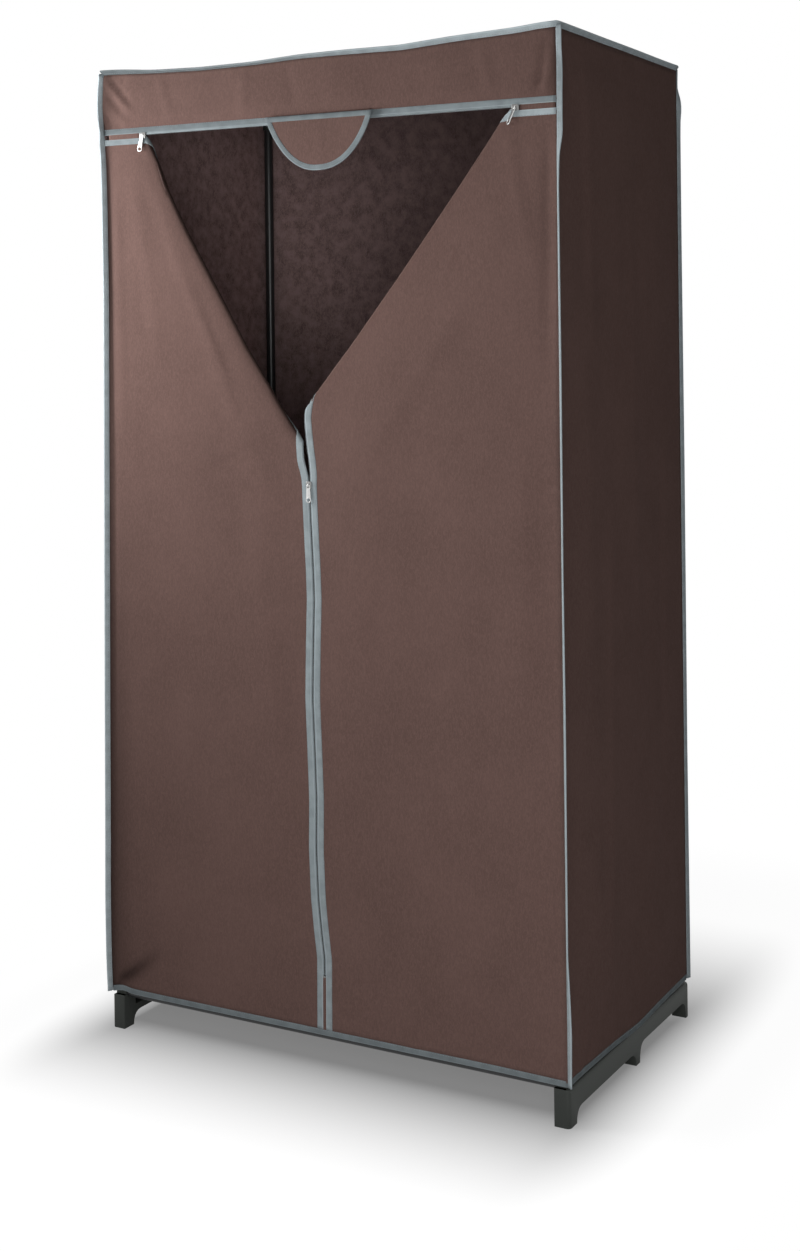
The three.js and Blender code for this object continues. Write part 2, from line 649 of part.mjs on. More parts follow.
// A round tube along Z from a height, with a narrower plug end if asked
function tube(length, swage = 0) {
  const [outer, inner] = [TUBE_R, TUBE_R - TUBE_WALL];
  const [plugOuter, plugInner] = [inner - GAP, inner - GAP - TUBE_WALL];
  const plug = swage > 0 ? [
    [plugInner, -swage],
    [plugOuter, -swage],
    [plugOuter, 0],
  ] : [];
  const profile = [
    ...plug,
    ...(swage > 0 ? [] : [[inner, 0]]),
    [outer, 0],
    [outer, length],
    [inner, length],
    ...(swage > 0 ? [[inner, TUBE_WALL], [plugInner, TUBE_WALL]] : []),
  ];
  const closed = [...profile, profile[0]].map(([r, z]) => new THREE.Vector2(r, z));
  const lathe = new THREE.LatheGeometry(closed, ROUND_SIDES).rotateX(Math.PI / 2);
  return outward(mergedCopy(lathe));
}

function mergedCopy(geometry) {
  const bare = geometry.clone();
  bare.deleteAttribute('normal');
  bare.deleteAttribute('uv');
  return mergeVertices(bare, GAP / 1000);
}

// A plain round bar for bosses and bores, along Z between two heights
function bar(radius, low, high) {
  const rod = new THREE.CylinderGeometry(radius, radius, high - low, ROUND_SIDES);
  return rod.rotateX(Math.PI / 2).translate(0, 0, (low + high) / 2);
}

const BORE_R = TUBE_R + GAP;
const ALONG_X = (sign) => (geometry) => geometry.rotateY((sign * Math.PI) / 2);
const ALONG_Y = (sign) => (geometry) => geometry.rotateX((-sign * Math.PI) / 2);
const DOWN = (geometry) => geometry.rotateX(Math.PI);

// A moulded connector: a round hub with tube sockets along the given directions
function connector(directions) {
  const hub = new THREE.SphereGeometry(SOCKET_R, ROUND_SIDES, ROUND_SIDES / 2);
  const arms = directions.map((turn) => turn(bar(SOCKET_R, 0, SOCKET_L)));
  const bores = directions.map((turn) => turn(bar(BORE_R, SOCKET_FLOOR, SOCKET_L + OVERRUN)));
  return geometryOf(cut(joined(hub, ...arms), ...bores));
}

function makeTopFrame() {
  for (const [side, sx] of [['left', -1], ['right', 1]]) {
    for (const [end, sy] of [['front', -1], ['back', 1]]) {
      const hub = add(`corner_connector_${end}_${side}`,
        connector([ALONG_X(-sx), ALONG_Y(-sy), DOWN]), mouldedFinish);
      hub.position.set(sx * FRAME_X, sy * FRAME_Y, TOP_RAIL_Z);
      const from = FRAME_Y - SOCKET_FLOOR - GAP;
      const to = SOCKET_FLOOR + GAP;
      const half = add(`top_side_tube_${end}_${side}`, ALONG_Y(1)(tube(from - to)), tubeFinish);
      half.position.set(sx * FRAME_X, sy > 0 ? to : -from, TOP_RAIL_Z);
    }
    const tee = add(`rail_tee_${side}`, connector([ALONG_X(-sx), ALONG_Y(1), ALONG_Y(-1)]), mouldedFinish);
    tee.position.set(sx * FRAME_X, 0, TOP_RAIL_Z);
  }
  const reach = FRAME_X - SOCKET_FLOOR - GAP;
  for (const [name, y] of [['top_tube_front', -FRAME_Y], ['top_tube_back', FRAME_Y], ['hanging_rail', 0]]) {
    const rail = add(name, ALONG_X(1)(tube(2 * reach)), tubeFinish);
    rail.position.set(-reach, y, TOP_RAIL_Z);
  }
}

function makeUprights() {
  const top = TOP_RAIL_Z - SOCKET_FLOOR - GAP;
  for (const [side, sx] of [['left', -1], ['right', 1]]) {
    for (const [end, sy] of [['front', -1], ['back', 1]]) {
      const foot = UPRIGHT_SOCKET_Z + GAP;
      const lower = add(`upright_lower_${end}_${side}`, tube(UPRIGHT_JOINT_Z - foot), tubeFinish);
      lower.position.set(sx * FRAME_X, sy * FRAME_Y, foot);
      const start = UPRIGHT_JOINT_Z + GAP;
      const upper = add(`upright_upper_${end}_${side}`, tube(top - start, SWAGE_L), tubeFinish);
      upper.position.set(sx * FRAME_X, sy * FRAME_Y, start);
    }
  }
}

// Side view of a base rail: three feet with curved roots under two spans of different height
function railOutline(end, top) {
  const rail = new THREE.Shape();
  const middleFront = MIDDLE_FOOT_Y - MIDDLE_FOOT_L / 2;
  const middleBack = MIDDLE_FOOT_Y + MIDDLE_FOOT_L / 2;
  rail.moveTo(-end, 0);
  rail.lineTo(-end + FRONT_FOOT_L, 0);
  rail.quadraticCurveTo(-end + FRONT_FOOT_L, FRONT_SPAN_Z, -end + FRONT_FOOT_L + FOOT_CURVE, FRONT_SPAN_Z);
  rail.lineTo(middleFront - FOOT_CURVE, FRONT_SPAN_Z);
  rail.quadraticCurveTo(middleFront, FRONT_SPAN_Z, middleFront, 0);
  rail.lineTo(middleBack, 0);
  rail.quadraticCurveTo(middleBack, REAR_SPAN_Z, middleBack + FOOT_CURVE, REAR_SPAN_Z);
  rail.lineTo(end - REAR_FOOT_L - FOOT_CURVE, REAR_SPAN_Z);
  rail.quadraticCurveTo(end - REAR_FOOT_L, REAR_SPAN_Z, end - REAR_FOOT_L, 0);
  rail.lineTo(end, 0);
  rail.lineTo(end, top);
  rail.lineTo(-end, top);
  return rail;
}

// A plate of an outline in Y and Z, standing between two places along X
function railPlate(outline, x0, x1) {
  const plate = new THREE.ExtrudeGeometry(outline, { depth: x1 - x0, bevelEnabled: false, curveSegments: 5 });
  plate.rotateX(Math.PI / 2).rotateZ(Math.PI / 2);
  return plate.translate(x0, 0, 0);
}

// Pockets moulded into the inner face between ribs, clear of the tube sockets
function railPockets() {
  const depth = RAIL_X_OUT - RAIL_WALL;
  const floor = REAR_SPAN_Z + RAIL_WALL;
  const roof = RAIL_STEP_Z - RAIL_WALL;
  const socketRoom = SOCKET_R + RAIL_WALL;
  const pockets = [];
  for (const [from, to] of [[-FRAME_Y, 0], [0, FRAME_Y]]) {
    const [y0, y1] = [from + socketRoom, to - socketRoom];
    const count = Math.max(1, Math.round((y1 - y0) / RIB_PITCH));
    for (let i = 0; i < count; i++) {
      const low = THREE.MathUtils.lerp(y0, y1, i / count) + RIB_T / 2;
      const high = THREE.MathUtils.lerp(y0, y1, (i + 1) / count) - RIB_T / 2;
      pockets.push(block(RAIL_X_IN - OVERRUN, depth, low, high, floor, roof));
    }
  }
  return pockets;
}

// The right-hand rail; the left one is its mirror image
function railSolid() {
  const body = railPlate(railOutline(RAIL_END_Y, RAIL_STEP_Z), RAIL_X_IN, RAIL_X_OUT);
  const shoulder = block(
    RAIL_X_IN,
    RAIL_X_OUT - RAIL_STEP_IN,
    -RAIL_END_Y + RAIL_STEP_IN,
    RAIL_END_Y - RAIL_STEP_IN,
    RAIL_STEP_Z - RAIL_WALL,
    RAIL_TOP_Z,
  );
  const ends = [-FRAME_Y, FRAME_Y];
  const bosses = ends.map((y) => bar(SOCKET_R, RAIL_STEP_Z, UPRIGHT_SOCKET_TOP).translate(FRAME_X, y, 0));
  const bores = ends.map((y) => bar(BORE_R, UPRIGHT_SOCKET_Z, UPRIGHT_SOCKET_TOP + OVERRUN).translate(FRAME_X, y, 0));
  const tubeBores = [...ends, 0].map((y) =>
    ALONG_X(1)(bar(BORE_R, 0, BASE_SOCKET_DEPTH + OVERRUN)).translate(RAIL_X_IN - OVERRUN, y, BASE_TUBE_Z));
  return cut(joined(body, shoulder, ...bosses), ...bores, ...tubeBores, ...railPockets());
}

function makeBase() {
  const rail = railSolid();
  add('base_rail_right', geometryOf(rail), mouldedFinish);
  add('base_rail_left', geometryOf(rail.mirror([1, 0, 0])), mouldedFinish);
  const reach = RAIL_X_IN + BASE_SOCKET_DEPTH - GAP;
  for (const [name, y] of [['front', -FRAME_Y], ['middle', 0], ['back', FRAME_Y]]) {
    const cross = add(`base_tube_${name}`, ALONG_X(1)(tube(2 * reach)), tubeFinish);
    cross.position.set(-reach, y, BASE_TUBE_Z);
  }
  add('base_shelf', shelfSolid(), clothFinish);
}

// The shelf lies over the base tubes and turns down round the front and back ones
function shelfSolid() {
  const outer = TUBE_R + GAP + CLOTH;
  const inner = TUBE_R + GAP;
  const section = new THREE.Shape();
  section.absarc(-FRAME_Y, BASE_TUBE_Z, outer, Math.PI, Math.PI / 2, true);
  section.absarc(FRAME_Y, BASE_TUBE_Z, outer, Math.PI / 2, 0, true);
  section.absarc(FRAME_Y, BASE_TUBE_Z, inner, 0, Math.PI / 2, false);
  section.absarc(-FRAME_Y, BASE_TUBE_Z, inner, Math.PI / 2, Math.PI, false);
  const reach = RAIL_X_IN - SHELF_SIDE_GAP;
  const shelf = new THREE.ExtrudeGeometry(section, {
    depth: 2 * reach,
    bevelEnabled: false,
    curveSegments: SHELF_ROUND_STEPS,
  });
  return shelf.rotateX(Math.PI / 2).rotateZ(Math.PI / 2).translate(-reach, 0, 0);
}

makeWalls();
makeValance();
const leftRow = makeDoor(-1, LEFT_FOLD_X, LEFT_FOLD_Z, LEFT_FLAP_STAND);
const rightRow = makeDoor(1, RIGHT_FOLD_X, RIGHT_FOLD_Z, RIGHT_FLAP_STAND);
makeCentreZip(leftRow, rightRow);
makeCornerBindings();
makeHemBinding();
makeTab();
makeSliders();
makeTopFrame();
makeUprights();
makeBase();

export default group;
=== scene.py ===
import math

import bmesh
import bpy
import numpy as np
from bpy.props import FloatProperty, FloatVectorProperty, PointerProperty
from mathutils import Matrix, Vector, noise


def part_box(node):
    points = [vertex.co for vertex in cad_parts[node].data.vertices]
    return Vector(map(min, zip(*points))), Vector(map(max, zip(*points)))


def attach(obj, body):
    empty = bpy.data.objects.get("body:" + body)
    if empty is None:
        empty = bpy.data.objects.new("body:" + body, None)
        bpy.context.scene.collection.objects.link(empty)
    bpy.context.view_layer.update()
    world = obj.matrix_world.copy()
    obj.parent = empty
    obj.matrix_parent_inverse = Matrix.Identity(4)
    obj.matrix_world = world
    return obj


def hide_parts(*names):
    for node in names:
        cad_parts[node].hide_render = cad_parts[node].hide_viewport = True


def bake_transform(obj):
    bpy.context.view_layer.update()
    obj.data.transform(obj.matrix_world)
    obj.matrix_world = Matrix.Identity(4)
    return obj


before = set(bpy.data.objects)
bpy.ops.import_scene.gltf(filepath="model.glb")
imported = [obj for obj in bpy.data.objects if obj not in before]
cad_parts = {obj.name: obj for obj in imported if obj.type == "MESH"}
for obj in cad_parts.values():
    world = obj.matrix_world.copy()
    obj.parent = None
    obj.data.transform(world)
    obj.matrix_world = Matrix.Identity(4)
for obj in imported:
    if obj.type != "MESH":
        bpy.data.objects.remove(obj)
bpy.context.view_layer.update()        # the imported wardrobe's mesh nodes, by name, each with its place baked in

bl_info = {
    "name": "Fabric wardrobe",
    "version": (1, 0, 0),
    "blender": (4, 5, 0),
    "location": "3D View > Sidebar > Wardrobe",
    "description": "Dresses a portable wardrobe with draped cloth, bound edges, zips and moulded rails",
    "category": "Object",
}

MM = 0.001
ROOT = "cover_and_frame"

# ---------------------------------------------------------------- places of the cover, in metres

# Half the body's width and depth, its height, the lower and upper edge of the hem tape and the cloth's lower edge
HALF_W = 0.415
HALF_D = 0.245
BODY_TOP = 1.594
HEM_Z = 0.0603
HEM_TOP = 0.0697
CLOTH_HEM = 0.067
# Where the cloth of the front, the sides and the back runs, half a side panel's depth, the top of the hanging
# panels and half the length of the front's tapes
FRONT = -0.2444
SIDE = 0.4144
BACK = 0.2444
SIDE_END = 0.2436
WALL_TOP = 1.5925
END_X = 0.4135

# Distances from the middle of a zip
TEETH_AT = 1.25 * MM
TAPE_NEAR = 3.6 * MM
ZIP_TAPE_NEAR = 2.3 * MM
TAPE_FAR = 13.6 * MM
CLOTH_NEAR = 7.6 * MM

# The middle zip's foot and top as x and z, and the top zip's height at its left and right end
ZIP_FOOT = (0.002, 0.153)
ZIP_TOP = (-0.016, 0.925)
TOP_ZIP = (1.488, 1.480)

# Length, width and height of a stitch and of a turn of the zip's coil
STITCH = (0.0033, 0.0007, 0.0005)
TOOTH = (0.0013, 0.0022, 0.0021)
# Section of the woven web that carries a row of teeth: across from the zip's middle, and proud
ZIP_WEB = (
    (0.0014, 0.0005), (0.0026, 0.0007), (0.0044, 0.0006), (0.0044, -0.0006), (0.0026, -0.0007), (0.0014, -0.0005),
)
# A seam's distance from the open edge of its tape, and how much of the tape's thickness its stitches stand proud
SEAM_IN = 0.0009
SEAM_PROUD = 0.46
EDGE_SEAM_PROUD = 0.47
# Width of the tapes that stand off the corners and the top edges, and where their seam runs
CORNER_TAPE = 0.0094
TOP_TAPE = 0.0096
EDGE_SEAM = 0.0030
TAPE_POINT_STEP = 0.008
# How far the foot of a corner tape lies inside the body's edge
TAPE_INSET = 0.0012
# Half the width of the bare cloth strips beside the zips' ends
STRIP_HALF = 0.0070

# Steps along a door's edge, and the finer ones beside its fold
LINE_STEP = 0.005
FOLD_STEP = 0.0013
# A door's pattern: rows beside its fold and how they crowd, columns across the roll and the folded corner, and
# how steeply the upper rows are drawn down to the top row
FOLD_ROWS = 76
ROW_CROWDING = 0.9
ROLL_COLUMNS = 12
FLAP_COLUMNS = 30
DRAW_POWER = 14

# How far the middle zip hangs off its straight line, in millimetres by height
ZIP_SWAY = (
    (0.060, -3.3), (0.120, -1.5), (0.180, 0.5), (0.225, -3.8), (0.272, -7.4), (0.349, -8.3),
    (0.428, -5.0), (0.505, -5.4), (0.583, -6.3), (0.661, -2.4), (0.740, 2.4), (0.790, 2.2),
    (0.833, 1.2), (0.880, 0.3), (0.918, 0.0),
)
# The two rows above the slider, each drawn to its own fold
LEFT_SWAY = (
    (0.930, -0.6), (0.942, -3.2), (0.957, -7.6), (0.977, -8.6), (0.990, -8.4), (1.012, -6.0), (1.200, -6.0),
)
RIGHT_SWAY = (
    (0.931, 1.0), (0.950, 0.2), (0.978, -3.4), (1.002, -5.4), (1.023, -6.6), (1.042, -3.8), (1.060, 1.5),
    (1.080, 5.0), (1.200, 5.0),
)

# Each door: its side, where its fold meets the top zip and the middle zip, how far the folded corner stands
# off, the end of its zip row, how far its cloth turns in beside the fold and how strongly painted shade darkens
# its edges; the radius of the fold along its middle, at its top and at its foot; how far the top row is drawn
# down past the fold; and how far the fold bows off its straight line, in millimetres by height
DOORS = {
    "left": {
        "body": "left_corner", "way": -1, "top_x": -0.325, "foot_z": 0.970, "stand": math.radians(50),
        "row_end": 0.329, "turn_in": 0.0052, "dark_edges": 1.0,
        "roll": 0.0075, "top_roll": 0.0045, "foot_roll": 0.0030, "corner_drop": 0.004,
        "bow": (
            (0.970, -0.5), (1.012, -4.6), (1.054, -7.6), (1.076, -7.4), (1.100, -8.8), (1.145, -12.6),
            (1.192, -12.2), (1.260, -13.0), (1.336, -14.0), (1.386, -11.6), (1.409, -10.6), (1.446, -3.8),
            (1.466, -4.0), (1.487, -3.0),
        ),
    },
    "right": {
        "body": "right_corner", "way": 1, "top_x": 0.341, "foot_z": 1.040, "stand": math.radians(40),
        "row_end": 0.345, "turn_in": 0.0008, "dark_edges": 0.0,
        "roll": 0.0030, "top_roll": 0.0030, "foot_roll": 0.0020, "corner_drop": 0.006,
        "bow": (
            (1.040, 0.0), (1.059, 1.2), (1.083, 0.7), (1.110, 0.3), (1.130, -1.0), (1.244, -2.2),
            (1.346, -1.2), (1.461, 2.0), (1.481, 0.0),
        ),
    },
}

# Sideways lean of the front left edge, in millimetres by height
LEFT_EDGE = (
    (0.061, -4.2), (0.128, -5.6), (0.211, -6.2), (0.340, -4.4), (0.547, -2.4), (0.882, 1.4),
    (1.050, 3.2), (1.217, 5.0), (1.384, 3.8), (1.451, 2.4), (1.500, -1.8), (1.552, -4.4), (1.594, 1.0),
)
# How far the front top edge stands above its straight line, and then the hem at the front and at the sides, in
# millimetres by place across or along
FRONT_TOP = (
    (-0.415, 0.8), (-0.375, -0.8), (-0.313, -4.4), (-0.212, -8.2), (-0.115, -8.4), (-0.020, -6.2),
    (0.071, -7.8), (0.159, -10.2), (0.246, -5.8), (0.350, -3.0), (0.392, 0.0), (0.415, 0.4),
)
HEM_FRONT = (
    (-0.415, -1.6), (-0.406, 0.6), (-0.396, 3.2), (-0.386, 3.0), (-0.374, 0.4), (-0.34, 0.0), (0.0, 0.0),
    (0.300, 0.4), (0.385, -0.6), (0.415, -1.0),
)
HEM_SIDE = ((-0.245, -1.0), (-0.200, 0.0), (-0.080, -2.0), (0.027, -7.5), (0.110, -3.0), (0.200, 0.0), (0.245, 1.2))


def table(pairs, at):
    """Smoothly read a table of places and millimetres, as metres."""
    x, y = np.array(pairs, float).T
    wide = np.interp(at, x, y)
    step = 0.35 * np.min(np.diff(x))
    return (wide + np.interp(at - step, x, y) + np.interp(at + step, x, y)) / 3 * MM


def smooth(value, low, high):
    """0 below low, 1 above high and an even slope between."""
    t = np.clip((value - low) / (high - low), 0, 1)
    return t * t * (3 - 2 * t)


def zip_x(z):
    """Where the middle zip runs at a height, before it sways."""
    return ZIP_FOOT[0] + (z - ZIP_FOOT[1]) * (ZIP_TOP[0] - ZIP_FOOT[0]) / (ZIP_TOP[1] - ZIP_FOOT[1])


def top_z(x):
    """How high the top zip runs at a place across."""
    return TOP_ZIP[0] + (x + HALF_W) * (TOP_ZIP[1] - TOP_ZIP[0]) / (2 * HALF_W)


def fold_frame(door):
    """A door's fold as its top point, its direction and the in-plane direction into the folded corner."""
    top = np.array([door["top_x"], top_z(door["top_x"])])
    foot = np.array([zip_x(door["foot_z"]), door["foot_z"]])
    along = (foot - top) / np.linalg.norm(foot - top)
    into = np.array([-along[1], along[0]]) * (-door["way"])
    return top, along, into


def swell(points, seed, size, height):
    """A slow uneven swell of the cloth at points in space."""
    shift = Vector((seed, 2.3 * seed, 0.7 * seed))
    values = [noise.noise(Vector((p[0] / size, p[1] / size, 0.42 * p[2] / size)) + shift) for p in points]
    return np.array(values) * height


def crease(x, z, start, end, width, height):
    """A soft ridge or valley along a line, fading at both ends."""
    a, b = np.array(start), np.array(end)
    run = b - a
    length = np.linalg.norm(run)
    t = ((x - a[0]) * run[0] + (z - a[1]) * run[1]) / length**2
    off = np.abs((x - a[0]) * run[1] - (z - a[1]) * run[0]) / length
    ends = smooth(t, -0.15, 0.25) * (1 - smooth(t, 0.75, 1.15))
    return height * np.exp(-((off / width) ** 2)) * ends


def creases(rows, x, z, share):
    """Creases by their start, end, half width and height in millimetres, at a share of their height."""
    return sum(crease(x, z, start, end, width * MM, height * MM) * share for start, end, width, height in rows)


def unit(vectors):
    """Vectors made one long."""
    return vectors / np.linalg.norm(vectors, axis=1)[:, None]


def settle(points):
    """The cover's own settling: its edges lean, its top sags between the tubes and its hem waves."""
    p = np.array(points, float)
    x, y, z = (p[..., k].copy() for k in range(3))
    near_left = 1 - smooth(x, -HALF_W, -HALF_W + 0.11)
    near_front = 1 - smooth(y, -HALF_D, -HALF_D + 0.16)
    p[..., 0] += table(LEFT_EDGE, z) * near_left * near_front
    up = smooth(z, BODY_TOP - 0.095, BODY_TOP)
    across = table(FRONT_TOP, x)
    back_side = table(FRONT_TOP, -x) * 0.6
    share = smooth(y, -HALF_D, HALF_D)
    p[..., 2] += up * (across * (1 - share) + back_side * share) * smooth(HALF_W - np.abs(x), -0.02, 0.02)
    low = 1 - smooth(z, HEM_TOP, HEM_TOP + 0.10)
    front = 1 - smooth(y, -HALF_D, -HALF_D + 0.02)
    side = smooth(np.abs(x), HALF_W - 0.02, HALF_W)
    p[..., 2] += low * (table(HEM_FRONT, x) * front + table(HEM_SIDE, y) * side * (1 - front))
    return p


# ---------------------------------------------------------------- cloth of the doors, from flat pattern to fold

def row_x(door, z):
    """Where this door's row of the middle zip runs in the pattern, at a height."""
    above = LEFT_SWAY if door["way"] < 0 else RIGHT_SWAY
    return zip_x(z) + table(ZIP_SWAY + above, z)


def row_z(door, x):
    """Where this door's row of the top zip runs in the pattern: it is drawn down over the fold."""
    past = (door["top_x"] - x) * door["way"]
    drawn = smooth(past, -0.002, 0.014) * (1 - smooth(past, 0.045, 0.17))
    return top_z(x) - door["corner_drop"] * drawn


def fold_shape(door, t):
    """Bow and roll radius of the fold at a distance along it."""
    top, along, _ = fold_frame(door)
    length = (door["foot_z"] - top[1]) / along[1]
    bow = table(door["bow"], top[1] + t * along[1])
    roll = door["roll"] + (door["top_roll"] - door["roll"]) * np.exp(-((t / 0.05) ** 2))
    roll = roll + (door["foot_roll"] - door["roll"]) * np.exp(-(((t - length) / 0.06) ** 2))
    return bow, roll


def place_on_door(door, x, z, proud):
    """Points of the flat door pattern, bent round the fold, at a distance in front of the cloth's middle."""
    x, z, proud = (np.array(v, float) for v in np.broadcast_arrays(x, z, proud))
    top, along, into = fold_frame(door)
    t = (x - top[0]) * along[0] + (z - top[1]) * along[1]
    s = (x - top[0]) * into[0] + (z - top[1]) * into[1]
    bow, roll = fold_shape(door, t)
    turn = math.pi - door["stand"]
    run = s - bow + roll
    bend = np.clip(run / roll, 0, turn)
    over = np.maximum(run - roll * turn, 0)
    under = np.minimum(run, 0)
    across = bow - roll + under + roll * np.sin(bend) + over * math.cos(turn)
    depth = roll * (1 - np.cos(bend)) + over * math.sin(turn)
    across += proud * np.sin(bend)
    depth -= proud * np.cos(bend)
    px = top[0] + along[0] * t + into[0] * across
    pz = top[1] + along[1] * t + into[1] * across
    return settle(np.stack([px, FRONT + depth, pz], -1))


def solve(f, low, high):
    """Where a function of one number changes sign between two places."""
    rising = f(high) > 0
    for _ in range(50):
        middle = (low + high) / 2
        if (f(middle) > 0) == rising:
            high = middle
        else:
            low = middle
    return (low + high) / 2


def fold_side(door, flap_side, near, shares):
    """Pattern points along one side of the roll, from the zip's row to the top row."""
    top, along, into = fold_frame(door)
    turn = math.pi - door["stand"]

    def at(t):
        """The pattern's point beside the roll at a distance along the fold."""
        bow, roll = fold_shape(door, t)
        off = bow - roll + (roll * turn + 0.0004 if flap_side else -0.0004)
        return top + along * t + into * off

    way = door["way"]
    length = (door["foot_z"] - top[1]) / along[1]
    foot = solve(lambda t: (at(t)[0] - row_x(door, at(t)[1])) * way - near, 0.3, length + 0.12)
    head = solve(lambda t: at(t)[1] - row_z(door, at(t)[0]) + near, -0.06, 0.2)
    return np.array([at(foot + (head - foot) * q) for q in shares])


def door_ease(door, x, z):
    """How far a door's cloth stands proud of its plane, with the folds and creases it hangs in."""
    way = door["way"]
    x, z = np.broadcast_arrays(np.array(x, float), np.array(z, float))
    edge = smooth(HALF_W - np.abs(x), 0.004, 0.075)
    near_zip = smooth(np.abs(x - row_x(door, z)), 0.012, 0.10)
    top, _, into = fold_frame(door)
    to_fold = -((x - top[0]) * into[0] + (z - top[1]) * into[1])
    near_zip = near_zip * np.where(z > door["foot_z"] - 0.08, smooth(to_fold, 0.012, 0.11), 1)
    hem = smooth(z, CLOTH_HEM, 0.22)
    head = smooth(top_z(x) - z, 0.012, 0.12)
    points = np.stack([x, np.zeros_like(x), z], 1)
    cover = bpy.context.scene.wardrobe_cover
    ease = (cover.billow + swell(points, 4.0 + way, 0.14, 0.6 * cover.fold_height)) * edge * head * hem * near_zip
    ease += swell(points, 9.0 + way, 0.055, 0.22 * cover.fold_height) * edge * hem * near_zip
    ease += creases(DOOR_CREASES["left" if way < 0 else "right"], x, z, smooth(HALF_W - np.abs(x), 0.0, 0.004))
    past_foot = smooth(z, door["foot_z"] - 0.02, door["foot_z"] + 0.12)
    ease -= door["turn_in"] * (1 - smooth(to_fold, 0.000, 0.042)) * smooth(to_fold, -0.030, -0.004) * past_foot
    return ease * smooth(top_z(x) - z, 0.008, 0.05)


def painted_shade_share(door, flat):
    """Painted shade: how far the cloth is darkened where it turns away from the light, at its fold, beside its outer
    edge, low beside that edge and in its foot crease.
    """
    top, along, into = fold_frame(door)
    to_fold = fold_shape(door, (flat - top) @ along)[0] - (flat - top) @ into
    at_fold = smooth(to_fold, 0.020, -0.004) * smooth(to_fold, -0.018, -0.007)
    at_fold *= smooth(flat[:, 1], door["foot_z"] - 0.03, door["foot_z"] + 0.05)
    off = HALF_W - np.abs(flat[:, 0])
    at_edge = 0.92 * smooth(off, 0.021, 0.001)
    low = 0.42 * smooth(off, 0.060, 0.006) * smooth(flat[:, 1], 1.00, 0.40)
    in_crease = crease(*flat.T, (-0.415, 0.066), (-0.300, 0.148), 0.0110, 0.95) * smooth(off, 0.120, 0.030)
    return np.max([at_fold, at_edge, low, in_crease], axis=0) * door["dark_edges"]


# Creases seen on the doors: from, to, half width and height in millimetres
DOOR_CREASES = {
    "left": (
        ((-0.4085, 1.46), (-0.4075, 0.60), 4.5, -3.4),
        ((-0.4080, 0.72), (-0.4040, 0.08), 6.0, -3.4),
        ((-0.392, 1.40), (-0.384, 0.95), 10.0, 1.6),
        ((-0.352, 1.43), (-0.300, 1.10), 16.0, 1.6),
        ((-0.185, 1.13), (-0.150, 1.045), 2.2, 0.9),
        ((-0.176, 1.12), (-0.146, 1.035), 2.0, -0.8),
        ((-0.225, 1.20), (-0.170, 1.09), 7.0, 1.2),
        ((-0.412, 0.075), (-0.350, 0.135), 8.0, -3.4),
        ((-0.395, 0.080), (-0.300, 0.110), 7.0, 1.6),
        ((-0.300, 1.36), (-0.130, 0.98), 14.0, 2.0),
        ((-0.060, 0.99), (-0.230, 0.92), 12.0, -1.2),
        ((-0.10, 0.72), (-0.055, 0.30), 18.0, 1.6),
        ((-0.25, 0.60), (-0.22, 0.10), 22.0, 1.8),
        ((-0.33, 0.46), (-0.20, 0.12), 14.0, -1.2),
    ),
    "right": (
        ((0.400, 1.44), (0.396, 1.10), 9.0, -2.6),
        ((0.330, 1.46), (0.372, 1.26), 12.0, 1.2),
        ((0.245, 1.28), (0.222, 1.215), 2.6, 0.9),
        ((0.255, 1.29), (0.262, 1.22), 2.4, -0.7),
        ((0.010, 1.00), (0.190, 0.93), 15.0, -1.4),
        ((0.020, 0.90), (0.120, 0.82), 12.0, 1.2),
        ((0.28, 1.22), (0.10, 0.98), 16.0, 1.8),
        ((0.20, 0.55), (0.16, 0.08), 20.0, 1.6),
        ((0.40, 0.090), (0.30, 0.125), 9.0, 1.6),
        ((0.035, 0.70), (0.050, 0.25), 14.0, 1.4),
    ),
}

VALANCE_CREASES = (
    ((-0.400, 1.588), (-0.352, 1.540), 4.0, -3.6),
    ((-0.412, 1.584), (-0.352, 1.527), 4.0, 3.2),
    ((-0.404, 1.560), (-0.372, 1.524), 6.0, -3.8),
    ((-0.398, 1.545), (-0.358, 1.500), 4.5, 2.0),
    ((-0.409, 1.530), (-0.392, 1.500), 4.0, -2.2),
    ((-0.372, 1.590), (-0.372, 1.560), 6.0, -1.8),
    ((-0.30, 1.59), (-0.27, 1.50), 9.0, 1.2),
    ((-0.13, 1.585), (-0.13, 1.505), 10.0, 1.4),
    ((-0.05, 1.585), (-0.03, 1.505), 8.0, -1.0),
    ((0.398, 1.580), (0.385, 1.502), 4.0, -2.8),
    ((0.410, 1.560), (0.398, 1.500), 4.0, 2.2),
    ((0.405, 1.535), (0.372, 1.502), 5.0, -1.8),
    ((0.29, 1.585), (0.31, 1.505), 9.0, 1.2),
)


# ---------------------------------------------------------------- meshes

def finish_piece(obj, body=ROOT, replaced=(), corner=None):
    """Gives a piece its body, or for a piece of a door bakes its place into its mesh, and hides the solids it stands
    for.
    """
    if corner:
        top, _, into = fold_frame(corner)
        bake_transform(obj)
    else:
        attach(obj, body)
    if replaced:
        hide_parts(*replaced)
    return obj


def linked(name, mesh):
    """A scene object of a mesh."""
    obj = bpy.data.objects.new(name, mesh)
    bpy.context.scene.collection.objects.link(obj)
    return obj


def cleaned(mesh, gap=0.0, sliver=0.0):
    """Merges a mesh's doubles, dissolves its slivers and turns its faces outward."""
    bm = bmesh.new()
    bm.from_mesh(mesh)
    if gap:
        bmesh.ops.remove_doubles(bm, verts=bm.verts, dist=gap)
    if sliver:
        bmesh.ops.dissolve_degenerate(bm, edges=bm.edges, dist=sliver)
    bmesh.ops.recalc_face_normals(bm, faces=bm.faces)
    bm.to_mesh(mesh)
    bm.free()


def smoothed(mesh, sharp_from=None):
    """Smooth shading, with edges kept sharp from an angle in degrees."""
    mesh.polygons.foreach_set("use_smooth", [True] * len(mesh.polygons))
    if sharp_from:
        mesh.set_sharp_from_angle(angle=math.radians(sharp_from))


